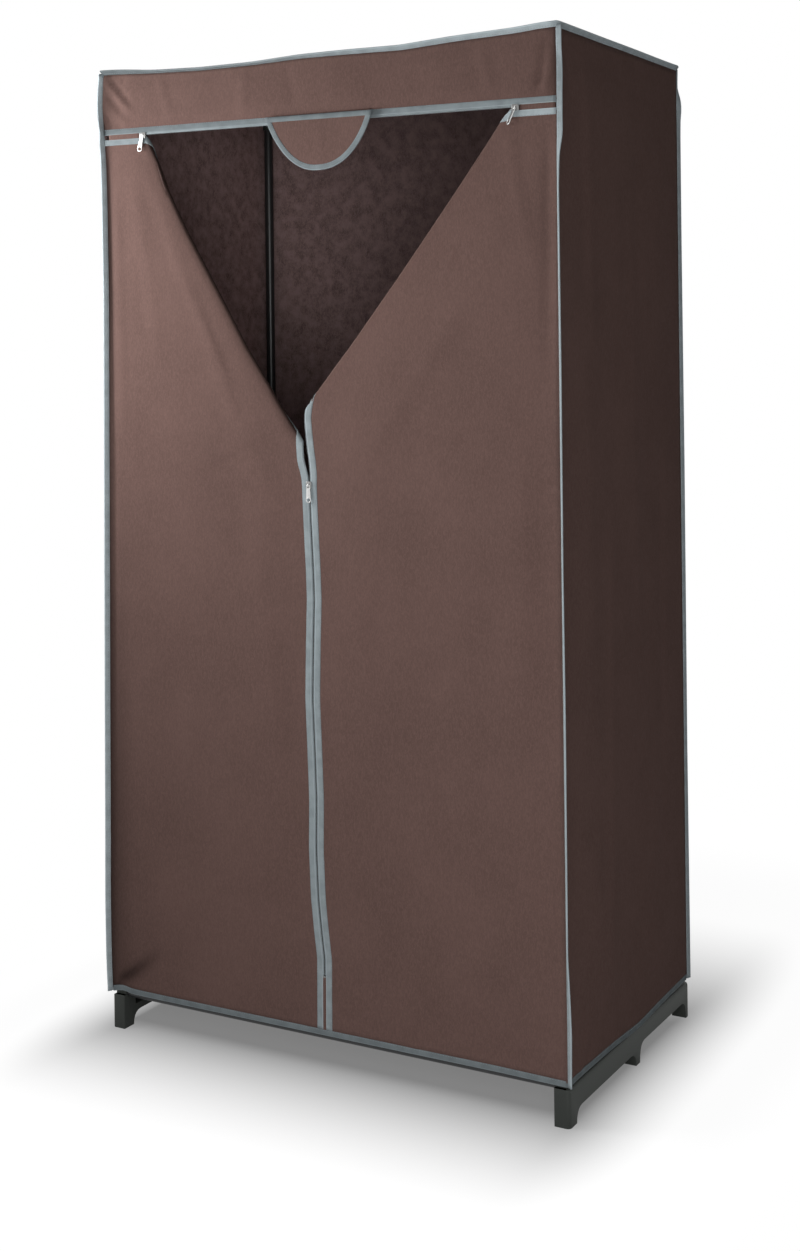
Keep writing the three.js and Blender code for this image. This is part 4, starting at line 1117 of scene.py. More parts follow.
class WARDROBE_OT_walls(bpy.types.Operator):
    """Side, back and roof panels of the cover, hanging from the frame"""
    bl_idname = "wardrobe.walls"
    bl_label = "Walls and roof"

    def execute(self, context):
        step = context.scene.wardrobe_cover.panel_step
        heights = (CLOTH_HEM, WALL_TOP)

        def held(reach):
            """Distances of a panel's points to its held edges."""
            return lambda a, b: (reach - np.abs(a), b - CLOTH_HEM, WALL_TOP - b)

        for name, way, seed in (("left", -1, 2.0), ("right", 1, 5.0)):
            panel = wall(
                f"{name}_side_cloth", f"{name}_side", (-SIDE_END, SIDE_END), heights,
                lambda y, z, proud, w=way: (w * (SIDE + proud), y, z), held(SIDE_END), seed, (way, 0, 0), SIDE_CREASES,
            )
        back = wall(
            "back_cloth", "back_panel", (-SIDE, SIDE), heights,
            lambda x, z, proud: (x, BACK + proud, z), held(SIDE), 8.0, (0, 1, 0),
        )
        self.roof(step)
        self.shelf(step)
        return {"FINISHED"}

    def roof(self, step):
        """The roof, sagging between its tubes and the hanging rail."""
        x, y = np.meshgrid(even(-SIDE, SIDE, step), even(-BACK, BACK, step))
        edge = HALF_W - np.abs(x)
        bars = smooth(np.abs(y), 0.008, 0.10) * smooth(HALF_D - np.abs(y), 0.006, 0.10) * smooth(edge, 0.006, 0.10)
        flat = np.stack([x, y, np.ones_like(x)], -1)
        waves = swell(flat.reshape(-1, 3), 11.0, 0.12, 0.0028).reshape(x.shape)
        flat[..., 2] = BODY_TOP - 0.0006 - np.maximum(0.0085 * bars + waves * smooth(edge, 0.004, 0.06), 0)
        roof = cloth_object("roof_cloth", settle(flat), (0, 0, 1))
        finish_piece(roof, ROOT, ["roof"])

    def shelf(self, step):
        """Cloth over the three base tubes, turned down round the front and the back one."""
        radius, centre, level = 0.0090, 0.231, 0.060
        turn = np.linspace(0, math.pi / 2, 7)[:-1]
        front = np.stack([-centre - radius * np.cos(turn), level + radius * np.sin(turn)], 1)
        flat = even(-centre, centre, step)
        sag = 0.004 * smooth(np.abs(flat), 0.006, 0.09) * smooth(centre - np.abs(flat), 0.004, 0.09)
        middle = np.stack([flat, level + radius - sag], 1)
        line = np.concatenate([front, middle, front[::-1] * (-1, 1)])
        grid = np.array([[(x, y, z) for x in even(-0.388, 0.388, step)] for y, z in line])
        shelf = cloth_object("base_shelf_cloth", grid, (0, 0, 1))
        finish_piece(shelf, ROOT, ["base_shelf"])


# ---------------------------------------------------------------- doors

def door_grids(door):
    """The door's flat pattern as three grids: below the fold, beside it, and the roll with the folded corner."""
    step = bpy.context.scene.wardrobe_cover.panel_step
    way = door["way"]
    outer = way * (HALF_W - 0.0006)
    upper = np.linspace(0, 1, FOLD_ROWS) ** ROW_CROWDING
    start = fold_side(door, False, CLOTH_NEAR, upper)
    end = fold_side(door, True, CLOTH_NEAR, upper)

    def fan(inner, outers, count):
        """A grid between two lines of points."""
        share = np.linspace(0, 1, count)[None, :, None]
        return outers[:, None] * (1 - share) + inner[:, None] * share

    def draw_down(rows):
        """Lets the upper rows follow the top row's drawn-down line."""
        for row, share in zip(rows, upper):
            lift = (row_z(door, row[:, 0]) - CLOTH_NEAR - row[:, 1]) * share**DRAW_POWER
            row[1:-1, 1] += lift[1:-1]

    low = even(CLOTH_HEM, start[0, 1], step)[:-1]
    inner = np.concatenate([np.stack([row_x(door, low) + way * CLOTH_NEAR, low], 1), start])
    head = row_z(door, outer) - CLOTH_NEAR
    rises = start[0, 1] + (head - start[0, 1]) * upper
    outers = np.stack([np.full(len(inner), outer), np.concatenate([low, rises])], 1)
    flat = fan(inner, outers, int(0.42 / step))
    draw_down(flat[len(low):])
    corner = solve(lambda z: z - row_z(door, row_x(door, z) + way * CLOTH_NEAR) + CLOTH_NEAR, 1.3, 1.6)
    z = end[0, 1] + (corner - end[0, 1]) * upper
    flap = fan(np.stack([row_x(door, z) + way * CLOTH_NEAR, z], 1), end, FLAP_COLUMNS)
    draw_down(flap)
    return flat, fan(end, start, ROLL_COLUMNS), flap


def door_path(door):
    """Line of the door's zip rows in the pattern, from the hem up and along the top, with its way into the cloth."""
    way, foot, top_x = door["way"], door["foot_z"], door["top_x"]
    corner_z = solve(lambda z: z - row_z(door, row_x(door, z)), 1.3, 1.6)
    z = np.concatenate([
        even(HEM_TOP + 0.0003, foot - 0.035, LINE_STEP), even(foot - 0.033, foot + 0.055, FOLD_STEP),
        even(foot + 0.060, corner_z - 0.016, LINE_STEP),
    ])
    up = np.stack([row_x(door, z), z], 1)
    x = np.concatenate([
        even(row_x(door, corner_z) + way * 0.016, top_x - way * 0.052, LINE_STEP),
        even(top_x - way * 0.050, top_x + way * 0.020, FOLD_STEP),
        even(top_x + way * 0.025, way * END_X, LINE_STEP),
    ])
    along = np.stack([x, row_z(door, x)], 1)
    corner = np.array([[row_x(door, corner_z), corner_z]])

    def into_cloth(points):
        """The way from the zip into the cloth, along a line of points."""
        run = unit(np.gradient(points, axis=0))
        return way * np.stack([run[:, 1], -run[:, 0]], 1)

    n1, n2 = into_cloth(up), into_cloth(along)
    both = (n1[-1] + n2[0]) / (1 + n1[-1] @ n2[0])
    return np.concatenate([up, corner, along]), np.concatenate([n1, [both], n2]), len(up)


def along_door(door, path, normals, distance, proud):
    """Points beside the zip rows of a door, on the bent cloth."""
    return place_on_door(door, *(path + normals * np.reshape(distance, (-1, 1))).T, proud)


def door_line(door, path, normals, distance, proud):
    """A line beside the zip rows with its outward directions."""
    line = along_door(door, path, normals, distance, proud)
    return line, unit(along_door(door, path, normals, distance, proud + MM) - line)


class WARDROBE_OT_doors(bpy.types.Operator):
    """Two doors with their folded corners, each bound with tape and edged with a zip row"""
    bl_idname = "wardrobe.doors"
    bl_label = "Doors"

    def execute(self, context):
        for name, door in DOORS.items():
            self.door(name, door, context.scene.wardrobe_cover.tape_thickness)
        self.foot()
        return {"FINISHED"}

    def door(self, name, door, thick):
        """One door: its cloth, its tape, its zip row on a woven web and its stitches."""
        patterns = door_grids(door)
        flat = np.concatenate([g.reshape(-1, 2) for g in patterns])
        area, faces, start = 0.0, [], 0
        for grid in patterns:
            p, q = grid[1:, 1:] - grid[:-1, :-1], grid[1:, :-1] - grid[:-1, 1:]
            area += float(np.abs(p[..., 0] * q[..., 1] - p[..., 1] * q[..., 0]).sum()) / 2
            faces += [tuple(i + start for i in f) for f in grid_faces(*grid.shape[:2])]
            start += grid.shape[0] * grid.shape[1]
        points = place_on_door(door, *flat.T, door_ease(door, *flat.T))
        cloth = cloth_of(f"{name}_door_cloth", points, faces, (0, -1, 0), painted_shade_share(door, flat))
        finish_piece(cloth, ROOT, [f"{name}_door", f"{name}_flap"], door)

        path, normals, turn = door_path(door)
        widen = np.ones(len(path))
        widen[:turn] = (TAPE_FAR - ZIP_TAPE_NEAR) / (TAPE_FAR - TAPE_NEAR)
        tape = laid_tape(
            f"{name}_door_tape",
            lambda across, proud: along_door(door, path, normals, TAPE_FAR - across * widen, proud),
            TAPE_FAR - TAPE_NEAR, "door tape",
        )
        bindings = [f"{name}_door_zip_binding", f"{name}_door_top_binding", f"{name}_flap_binding"]
        finish_piece(tape, ROOT, bindings, door)

        open_part = (path[:, 1] > ZIP_FOOT[1]) & (path[:, 0] * door["way"] < door["row_end"])
        row, out = path[open_part], normals[open_part]
        web = zip_web(f"{name}_door_zip_tape", lambda across, proud: along_door(door, row, out, across, proud), door)
        solids = ["centre_zip"] if name == "left" else []
        teeth = zip_teeth(f"{name}_door_zip_row", door_line(door, row, out, TEETH_AT, 0.0), solids, door)

        front, ahead = door_line(door, path, normals, TAPE_FAR - SEAM_IN, thick * SEAM_PROUD)
        back, behind = door_line(door, path, normals, TAPE_FAR - SEAM_IN, -thick * SEAM_PROUD)
        stitches = stitching(f"{name}_door_stitches", [(front, ahead), (back, -behind)], corner=door)

    def foot(self):
        """Cloth between the two bindings below the zip's foot, with the stop that ends the zip."""
        z = even(CLOTH_HEM, ZIP_FOOT[1] - 0.001, 0.004)
        across = np.linspace(-STRIP_HALF, STRIP_HALF, 9)
        bowl = 0.0004 * np.cos(across / STRIP_HALF * math.pi / 2)
        middle = row_x(DOORS["left"], z)
        points = np.array([[(m + a, FRONT - h, up) for a, h in zip(across, bowl)] for m, up in zip(middle, z)])
        strip = cloth_object("zip_foot_cloth", settle(points))
        finish_piece(strip, ROOT)
        stop_z = ZIP_FOOT[1] - 0.0012
        half, high = 0.0024, 0.0011
        outline = [(-half, -high), (half, -high), (half, high), (-half, high)]
        # The stop takes the darker metal copy: painted shade.
        stop = slab_object("zip_stop", outline, (), 0.0026, 0.0005, get_material("dull metal"))
        stop.data.transform(Matrix.Translation((float(row_x(DOORS["left"], stop_z)), FRONT, stop_z)))
        finish_piece(stop, ROOT)


# ---------------------------------------------------------------- valance and tab

class WARDROBE_OT_valance(bpy.types.Operator):
    """Valance across the front with its bound edge and its row of the top zip"""
    bl_idname = "wardrobe.valance"
    bl_label = "Valance"

    def execute(self, context):
        thick = context.scene.wardrobe_cover.tape_thickness
        x, share = np.meshgrid(even(-SIDE, SIDE, 0.0055), np.linspace(0, 1, 19))
        low = top_z(x) + CLOTH_NEAR
        z = low + (WALL_TOP - low) * share
        edge = smooth(HALF_W - np.abs(x), 0.002, 0.04)
        held = smooth(z - low, 0.000, 0.03) * smooth(WALL_TOP - z, 0.000, 0.03)
        flat = np.stack([x.ravel(), np.zeros(x.size), z.ravel()], 1)
        ease = (0.0016 + swell(flat, 21.0, 0.09, 0.0034).reshape(x.shape)) * edge * held
        ease += creases(VALANCE_CREASES, x, z, smooth(z - low, -0.002, 0.012))
        # Painted shade: the valance's cloth darkened towards both of its ends.
        dark = 0.55 * smooth(HALF_W + x, 0.040, 0.004) + 0.35 * smooth(HALF_W - x, 0.026, 0.004)
        cloth = cloth_object("valance_cloth", settle(np.stack([x, FRONT - ease, z], -1)), dark=dark.ravel())
        finish_piece(cloth, ROOT, ["valance"])

        def line(up, out):
            """A line along the top zip, above it and before the cloth."""
            return settle(np.stack([xs, np.full(xs.size, FRONT - out), top_z(xs) + up], 1))

        def seam(up, out):
            """Such a line with its outward directions."""
            return line(up, out), np.tile((0.0, -1.0, 0.0), (xs.size, 1))

        xs = even(-END_X, END_X, 0.006)
        lay = lambda across, proud: line(TAPE_FAR - across, proud)
        tape = laid_tape("valance_tape", lay, TAPE_FAR - TAPE_NEAR)
        finish_piece(tape, ROOT, ["valance_binding"])
        edge_seam = seam(TAPE_FAR - SEAM_IN, thick * SEAM_PROUD)
        xs = even(-DOORS["left"]["row_end"], DOORS["right"]["row_end"], 0.006)
        web = zip_web("valance_zip_tape", line)
        teeth = zip_teeth("top_zip_row", seam(TEETH_AT, 0), ["top_zip"])
        stitches = stitching("valance_stitches", [edge_seam])
        self.ends()
        return {"FINISHED"}

    def ends(self):
        """Cloth between the valance and the doors, past both ends of the top zip."""
        for name, low, high in (("left", -0.4030, -0.3395), ("right", 0.3555, 0.4125)):
            x, up = np.meshgrid(even(low, high, 0.005), np.linspace(-STRIP_HALF, STRIP_HALF, 9))
            bowl = 0.0006 * np.cos(up / STRIP_HALF * math.pi / 2)
            strip = cloth_object(f"zip_end_cloth_{name}", settle(np.stack([x, FRONT - bowl, top_z(x) + up], -1)))
            finish_piece(strip, ROOT)


# The tab: its middle and its root line, half its width, its depth, the roundness of its right and of its left
# corner, how far it stands before the cloth and how wide its tape is
TAB = {
    "x": 0.0125, "root_z": 1.49348, "half": 0.0965, "depth": 0.0850, "round": (1.72, 1.54), "forward": 0.0082,
    "tape": 0.009,
}
# Section of the tape over the tab's root: up its front and down behind it, as Y and Z
TAB_ROOT = (
    (-0.2502, 1.4969), (-0.2521, 1.4963), (-0.2536, 1.4947), (-0.2543, 1.4922), (-0.2546, 1.4895), (-0.2544, 1.4879),
    (-0.2534, 1.4879), (-0.2534, 1.4900), (-0.2532, 1.4930), (-0.2524, 1.4946), (-0.2507, 1.4959), (-0.2489, 1.4967),
)


def tab_rim(inset, steps):
    """Rim of the tab, from its right end round below to its left end, as x and z."""
    angle = np.linspace(0, math.pi, steps)
    power = np.where(angle > math.pi / 2, *TAB["round"])
    x = TAB["x"] + (TAB["half"] - inset) * np.sign(np.cos(angle)) * np.abs(np.cos(angle)) ** 0.87
    z = TAB["root_z"] - (TAB["depth"] - inset) * np.abs(np.sin(angle)) ** power
    return np.stack([x, z], 1)


def tab_depth(x, z):
    """Where the tab's cloth stands, with its slow waves and the ridge over its middle."""
    drop = TAB["root_z"] - z
    ridge = 0.0009 * np.exp(-(((x - TAB["x"] - 0.004) / 0.0045) ** 2)) * smooth(drop, 0.0, 0.012)
    wave = 0.0010 * np.sin((x - TAB["x"]) / 0.030 + 0.6) * smooth(drop, 0.01, 0.08)
    return FRONT - TAB["forward"] - (wave - 0.0012 * smooth(drop, 0.045, 0.09) + ridge)


class WARDROBE_OT_tab(bpy.types.Operator):
    """Rounded cloth tab over the meeting of the zips, bound with tape"""
    bl_idname = "wardrobe.tab"
    bl_label = "Tab"

    def execute(self, context):
        thick, wide, root_z = context.scene.wardrobe_cover.tape_thickness, TAB["tape"], TAB["root_z"]
        rim = tab_rim(0.0045, 61)
        root_line = np.stack([rim[:, 0], np.full(len(rim), root_z)], 1)
        flat = np.array([root_line * (1 - k) + rim * k for k in np.linspace(0, 1, 25)])
        x, z = flat[..., 0], flat[..., 1]
        main = np.stack([x, tab_depth(x, z), z], -1)
        lip = []
        for k in np.linspace(0, 1, 7)[:-1]:
            y = -0.2472 - 0.0054 * smooth(k, 0.15, 1.0)
            lift = 0.0045 * (1 - k) ** 1.5 + 0.0012 * math.sin(math.pi * k)
            lip.append(np.stack([x[0], np.full(x.shape[1], y), z[0] + lift], -1))
        cloth = cloth_object("tab_cloth", np.concatenate([lip, main]))
        finish_piece(cloth, "tab", ["tab"])

        rim = tab_rim(0.0, 121)
        run = unit(np.gradient(rim, axis=0))
        inward = np.stack([run[:, 1], -run[:, 0]], 1)
        inward[0], inward[-1] = (-1, 0), (1, 0)

        def lay(across, proud):
            """A line along the rim, above its edge and before the cloth."""
            x, z = (rim + inward * (wide - across)).T
            return np.stack([x, tab_depth(x, z) - proud, np.minimum(z, root_z)], 1)

        tape = laid_tape("tab_tape", lay, wide)
        finish_piece(tape, "tab", ["tab_binding"])
        x, z = (rim + inward * 0.0078)[2:-2].T
        seams = []
        for side in (1, -1):
            line = np.stack([x, tab_depth(x, z) - side * thick * SEAM_PROUD, z], 1)
            seams.append((line, np.tile((0.0, -side, 0.0), (len(line), 1))))
        stitches = stitching("tab_stitches", seams, "tab")
        reach = TAB["half"] + 0.0010
        rings = [
            [(x, y, z + top_z(x) - top_z(TAB["x"])) for y, z in TAB_ROOT]
            for x in even(TAB["x"] - reach, TAB["x"] + reach, 0.006)
        ]
        root = finish_piece(sweep("tab_root_tape", rings, get_material("tape")), "tab")
        return {"FINISHED"}


# ---------------------------------------------------------------- bindings of the body

# How far the top tape's front leans up from lying flat, in radians by place across
RING_LEAN = (
    (-0.415, 0.90), (-0.370, 0.75), (-0.310, 0.35), (-0.100, 0.30), (0.050, 0.65), (0.180, 0.85), (0.415, 0.90),
)
# The way in which each corner tape points, in degrees by height
FIN_TURN = {
    "front_left": (
        (0.07, 66.0), (0.10, 52.0), (0.16, 40.0), (0.70, 46.0), (1.10, 38.0), (1.42, 44.0), (1.475, 48.0),
        (1.497, 82.0), (1.520, 46.0), (1.594, 40.0),
    ),
    "front_right": (
        (0.07, 34.0), (0.14, 28.0), (0.20, 44.0), (0.25, 60.0), (0.60, 55.0), (0.80, 61.0), (1.10, 56.0),
        (1.36, 60.0), (1.400, 52.0), (1.415, 42.0), (1.440, 4.0), (1.500, 2.0), (1.520, -10.0), (1.540, -8.0),
        (1.558, 8.0), (1.594, 9.0),
    ),
    "back_left": ((0.07, 45.0), (0.50, 52.0), (1.00, 40.0), (1.594, 45.0)),
    "back_right": (
        (0.07, 62.0), (0.45, 70.0), (0.95, 60.0), (1.30, 66.0), (1.480, 64.0), (1.510, 58.0), (1.528, 32.0),
        (1.540, 46.0), (1.562, 98.0), (1.594, 92.0),
    ),
}


class WARDROBE_OT_bindings(bpy.types.Operator):
    """Tape that stands off the upright corners and the top edges, and the tape round the hem"""
    bl_idname = "wardrobe.bindings"
    bl_label = "Body bindings"

    def execute(self, context):
        self.fins()
        self.top()
        self.hem(context.scene.wardrobe_cover.tape_thickness)
        return {"FINISHED"}

    def fins(self):
        """The tapes of the four upright corners."""
        seams = []
        z = even(HEM_Z + TAPE_INSET, BODY_TOP + TAPE_INSET, TAPE_POINT_STEP)
        for name, turns in FIN_TURN.items():
            sx, sy = (1 if "right" in name else -1), (1 if "back" in name else -1)
            turn = np.radians(table(turns, z) / MM)
            ways = np.stack([sx * np.cos(turn), sy * np.sin(turn), np.zeros(z.size)], 1)
            sides = np.stack([-ways[:, 1], ways[:, 0], ways[:, 2]], 1)
            corner = np.full((z.size, 2), (sx * (HALF_W - TAPE_INSET), sy * (HALF_D - TAPE_INSET)))
            base = settle(np.column_stack([corner, z]))
            lay = lambda across, proud: base + ways * across + sides * proud
            tape = laid_tape(f"corner_tape_{name}", lay, CORNER_TAPE, "corner tape")
            finish_piece(tape, ROOT, [f"corner_binding_{name}"])
            seams += edge_seams(base, ways, sides)
        stitching("corner_stitches", seams)

    def top(self):
        """The tape round the roof's edge, leaning up by a different amount along its front."""
        points, outs = [], []
        corners = [(-1, -1), (1, -1), (1, 1), (-1, 1)]
        for here, there in zip(corners, corners[1:] + corners[:1]):
            a, b = (np.array(corner) * (HALF_W, HALF_D) for corner in (here, there))
            length = np.linalg.norm(b - a)
            steps = even(0, length, TAPE_POINT_STEP)[1:-1] / length
            points += [a, *(a + (b - a) * s for s in steps)]
            outs += [np.array(here) * (0.82 if here[0] < 0 else 0.58)]
            outs += [(np.array(here) + there) / 2] * len(steps)
        points, outs = np.array(points), np.array(outs)
        base = settle(np.column_stack([points * (1 - 0.0010 / HALF_W), np.full(len(points), BODY_TOP - 0.0012)]))
        along = np.arange(len(points)) * TAPE_POINT_STEP
        lean = 0.90 + 0.12 * np.sin(along * 9.0) + 0.08 * np.sin(along * 23.0 + 1.0)
        front = outs[:, 1] < -0.9
        lean[front] = table(RING_LEAN, points[front, 0]) / MM
        up, level = np.sin(lean)[:, None], np.cos(lean)[:, None]
        ways, sides = np.hstack([level * outs, up]), np.hstack([up * outs, -level])
        tape = laid_tape("top_tape", lambda a, proud: base + ways * a + sides * proud, TOP_TAPE, "top tape", True)
        finish_piece(tape, ROOT, ["top_binding"])
        stitching("top_stitches", [closed(*seam) for seam in edge_seams(base, ways, sides)])

    def hem(self, thick):
        """The tape round the foot of the cover."""
        points, outs = rounded_loop(SIDE, BACK, 0.006, TAPE_POINT_STEP)
        base = np.column_stack([points, np.full(len(points), HEM_TOP)])
        out = np.column_stack([outs, np.zeros(len(outs))])

        def line(down, proud):
            """A line round the hem, below its upper edge and before the cloth."""
            return settle(base + out * proud - np.array((0, 0, down)))

        tape = laid_tape("hem_tape", line, HEM_TOP - HEM_Z, "hem tape", True)
        finish_piece(tape, ROOT, ["hem_binding"])
        stitching("hem_stitches", [closed(line(0.0014, thick * EDGE_SEAM_PROUD), out)])


def rounded_loop(half_x, half_y, radius, step):
    """A rounded rectangle in plan as points and outward directions."""
    points, outs = [], []
    for k, (sx, sy) in enumerate(((1, -1), (1, 1), (-1, 1), (-1, -1))):
        centre = np.array((sx * (half_x - radius), sy * (half_y - radius)))
        start = math.atan2(sy, sx) - math.pi / 4
        for a in np.linspace(start, start + math.pi / 2, 6):
            out = np.array((math.cos(a), math.sin(a)))
            points.append(centre + out * radius)
            outs.append(out)
        nx, ny = ((1, 1), (-1, 1), (-1, -1), (1, -1))[k]
        target = np.array((nx * (half_x - radius), ny * (half_y - radius))) + outs[-1] * radius
        last = points[-1]
        for s in np.linspace(0, 1, max(2, int(np.linalg.norm(target - last) / step)))[1:-1]:
            points.append(last + (target - last) * s)
            outs.append(outs[-1])
    return np.array(points), np.array(outs)


# ---------------------------------------------------------------- sliders and pulls

def full_turn(count):
    """Even angles round a circle."""
    return np.linspace(0, math.tau, count + 1)[:-1]


def slab_object(name, outline, holes, thickness, rounding, material, depth=0.0):
    """A plate with rounded edges from an outline and holes in X and Z, its middle at a depth, its front to -Y."""
    curve = bpy.data.curves.new(name, "CURVE")
    curve.dimensions = "2D"
    curve.fill_mode = "BOTH"
    curve.extrude = thickness / 2 - rounding
    curve.bevel_depth = rounding
    curve.bevel_resolution = 2
    curve.offset = -rounding
    for loop in (outline, *holes):
        spline = curve.splines.new("POLY")
        spline.points.add(len(loop) - 1)
        for point, (x, z) in zip(spline.points, loop):
            point.co = (x, z, 0, 1)
        spline.use_cyclic_u = True
    shaper = linked(name, curve)
    mesh = bpy.data.meshes.new_from_object(shaper.evaluated_get(bpy.context.evaluated_depsgraph_get()))
    bpy.data.objects.remove(shaper)
    bpy.data.curves.remove(curve)
    mesh.transform(Matrix(((1, 0, 0, 0), (0, 0, -1, depth), (0, 1, 0, 0), (0, 0, 0, 1))))
    cleaned(mesh, gap=0.000004)
    mesh.name = name
    mesh.materials.clear()
    mesh.materials.append(material)
    smoothed(mesh, 50)
    return linked(name, mesh)


def bezier(a, b, c, steps=7):
    """Points of a quadratic curve, without its last."""
    t = np.linspace(0, 1, steps)[:-1, None]
    a, b, c = (np.array(p) for p in (a, b, c))
    return [tuple(p) for p in (1 - t) ** 2 * a + 2 * t * (1 - t) * b + t**2 * c]


def arch(name, half, foot, crown, bar, width, material):
    """A bail: a rounded bar from the plate up, along and down again, in the plane of Y and Z."""
    r = 0.0013
    bend = np.linspace(0, math.pi / 2, 6)
    path = np.array([
        (-half, foot),
        *((-half + r - r * math.cos(a), crown + r - r * math.sin(a)) for a in bend),
        *((half - r + r * math.sin(a), crown + r - r * math.cos(a)) for a in bend),
        (half, foot),
    ])
    run = unit(np.gradient(path, axis=0))

    def squared(v):
        """A sine or cosine of a circle drawn out towards a square."""
        return math.copysign(abs(v) ** 0.7, v)

    section = [(squared(math.cos(a)) * width / 2, squared(math.sin(a)) * bar / 2) for a in full_turn(12)]
    rings = [[(c, y + dz * s, z - dy * s) for c, s in section] for (z, y), (dz, dy) in zip(path, run)]
    return sweep(name, rings, material)


def slider_parts(name, bail_turn):
    """Slider closing upwards along Z with its front to -Y: two plates, the post between them and the bail."""
    half, tail, end = 0.005, 0.0038, 0.006
    guides = (
        (-tail, -end), (0, -end - 0.0004), (tail, -end), (half, -end / 2), (half, end / 2), (half, end),
        (half / 2, end), (0, end - 0.0007), (-half / 2, end), (-half, end), (-half, end / 2), (-half, -end / 2),
        (-tail, -end),
    )
    outline = [point for k in range(0, 12, 2) for point in bezier(*guides[k:k + 3])]
    crown = [(x * 0.62, z * 0.72) for x, z in outline]
    post = [(0, 0.002), (0.0006, 0.004), (0.0006, 0.0058), (-0.0006, 0.0058), (-0.0006, 0.004)]
    flange = [(0.0047, -0.0015), (0.0042, 0.0045), (0.0036, 0.0045), (0.0040, -0.0015)]
    shapes = [
        ("plate", outline, 0.0012, 0.00035, -0.0022), ("crown", crown, 0.0005, 0.00024, -0.0028),
        ("back", outline, 0.0012, 0.00035, 0.0022), ("post", post, 0.0042, 0.0001, 0.0),
    ]
    for side in (-1, 1):
        lip = [(side * x, z) for x, z in flange]
        shapes += [("lip", lip, 0.0013, 0.0002, -0.0012), ("back_lip", lip, 0.0013, 0.0002, 0.0012)]
    # The plates, post and lips take the darker metal copy, painted shade; the bail keeps the bright metal.
    shaded_metal = get_material("dull metal")
    parts = [
        slab_object(f"{name}_{kind}", shape, (), thickness, rounding, shaded_metal, depth)
        for kind, shape, thickness, rounding, depth in shapes
    ]
    bail = arch(f"{name}_bail", 0.0028, -0.0026, -0.0049, 0.0008, 0.0018, get_material("metal"))
    bail.data.transform(Matrix.Rotation(bail_turn, 4, "Y"))
    return joined(name, [*parts, bail])


def pull_plate(name):
    """Pull: an eye whose pin runs under the bail, a neck and a round end with a hole, hanging along -Z."""
    metal = get_material("metal")
    neck, half, pin, length, hole_radius, eye_half = 0.0033, 0.0045, 0.00045, 0.028, 0.0030, 0.0020
    round_z = pin - length + half
    outline = bezier((-neck, pin), (-neck, round_z / 2), (-half, round_z), 12)
    outline += [(half * math.cos(a), round_z + half * math.sin(a)) for a in np.linspace(math.pi, math.tau, 25)]
    outline += bezier((half, round_z), (neck, round_z / 2), (neck, pin), 12)[1:]
    outline += [(neck, pin - 0.0003), (neck - 0.0004, pin), (-neck + 0.0004, pin)]
    eye = [(-eye_half, -pin), (-eye_half, -pin - 0.0034), (-0.0012, -pin - 0.0044)]
    eye += [(-x, z) for x, z in eye[::-1]]
    hole = [(hole_radius * math.cos(a), round_z + hole_radius * math.sin(a)) for a in full_turn(32)]
    plate = slab_object(name, outline, (eye, hole), 0.0009, 0.00022, metal)
    section = [(0.0035 + 0.00035 * math.cos(b), -0.00040 + 0.00030 * math.sin(b)) for b in full_turn(8)]
    rim = [[(r * math.cos(a), y, round_z + r * math.sin(a)) for r, y in section] for a in full_turn(32)]
    return joined(name, [plate, sweep(f"{name}_rim", rim, metal, loop=True)])


# Each slider: its place as x and z, the way it closes, its pull's lean to the side and its turn about itself
SLIDERS = (
    ("centre", (-0.01584, 0.918), math.atan2(-0.018, 0.772), 0.0, 0.0),
    ("left", (-0.3325, 1.4872), math.pi / 2 + math.atan2(0.008, 0.83), math.radians(13), 0.0),
    ("right", (0.3485, 1.48064), math.atan2(0.008, 0.83) - math.pi / 2, math.radians(27), math.radians(-38)),
)


class WARDROBE_OT_sliders(bpy.types.Operator):
    """Three zip sliders, each with a long pull that hangs from its bail"""
    bl_idname = "wardrobe.sliders"
    bl_label = "Zip sliders"

    def execute(self, context):
        for name, (x, z), travel, lean, twist in SLIDERS:
            place = Matrix.Translation((x, FRONT, z)) @ Matrix.Rotation(travel, 4, "Y")
            slider = slider_parts(f"{name}_slider_body", lean - travel)
            slider.data.transform(place)
            finish_piece(slider, f"{name}_slider", [f"{name}_slider"])
            pull = pull_plate(f"{name}_pull_plate")
            hanging = Matrix.Rotation(lean, 4, "Y") @ Matrix.Rotation(twist, 4, "Z")
            pull.data.transform(Matrix.Translation((x, FRONT - 0.0037, z)) @ hanging)
            finish_piece(pull, f"{name}_pull", [f"{name}_pull"])
        return {"FINISHED"}


# ---------------------------------------------------------------- base and frame

def finished_copy(name, node_name, material, rounding, segments=2, posts=0.0):
    """A merged copy of a moulding with its edges rounded; posts rounds the upright edges of its ends more."""
    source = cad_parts[node_name]
    mesh = source.data.copy()
    mesh.name = name
    mesh.transform(source.matrix_world)
    bm = bmesh.new()
    bm.from_mesh(mesh)
    bmesh.ops.remove_doubles(bm, verts=bm.verts, dist=0.00003)
    bmesh.ops.dissolve_limit(bm, angle_limit=math.radians(2.0), verts=bm.verts, edges=bm.edges)
    bmesh.ops.recalc_face_normals(bm, faces=bm.faces)
    if posts:
        reach_x = max(abs(v.co.x) for v in bm.verts)
        reach_y = max(abs(v.co.y) for v in bm.verts)
        upright = [
            e for e in bm.edges
            if all(abs(abs(v.co.x) - reach_x) < 1e-4 and abs(abs(v.co.y) - reach_y) < 1e-4 for v in e.verts)
        ]
        bmesh.ops.bevel(bm, geom=upright, offset=posts, segments=5, profile=0.5, affect="EDGES", clamp_overlap=True)
    bm.to_mesh(mesh)
    bm.free()
    mesh.materials.clear()
    mesh.materials.append(material)
    obj = linked(name, mesh)
    edge = obj.modifiers.new("rounding", "BEVEL")
    edge.width = rounding
    edge.segments = segments
    edge.limit_method = "ANGLE"
    edge.angle_limit = math.radians(35)
    edge.use_clamp_overlap = True
    baked(obj)
    smoothed(obj.data, 40)
    return obj


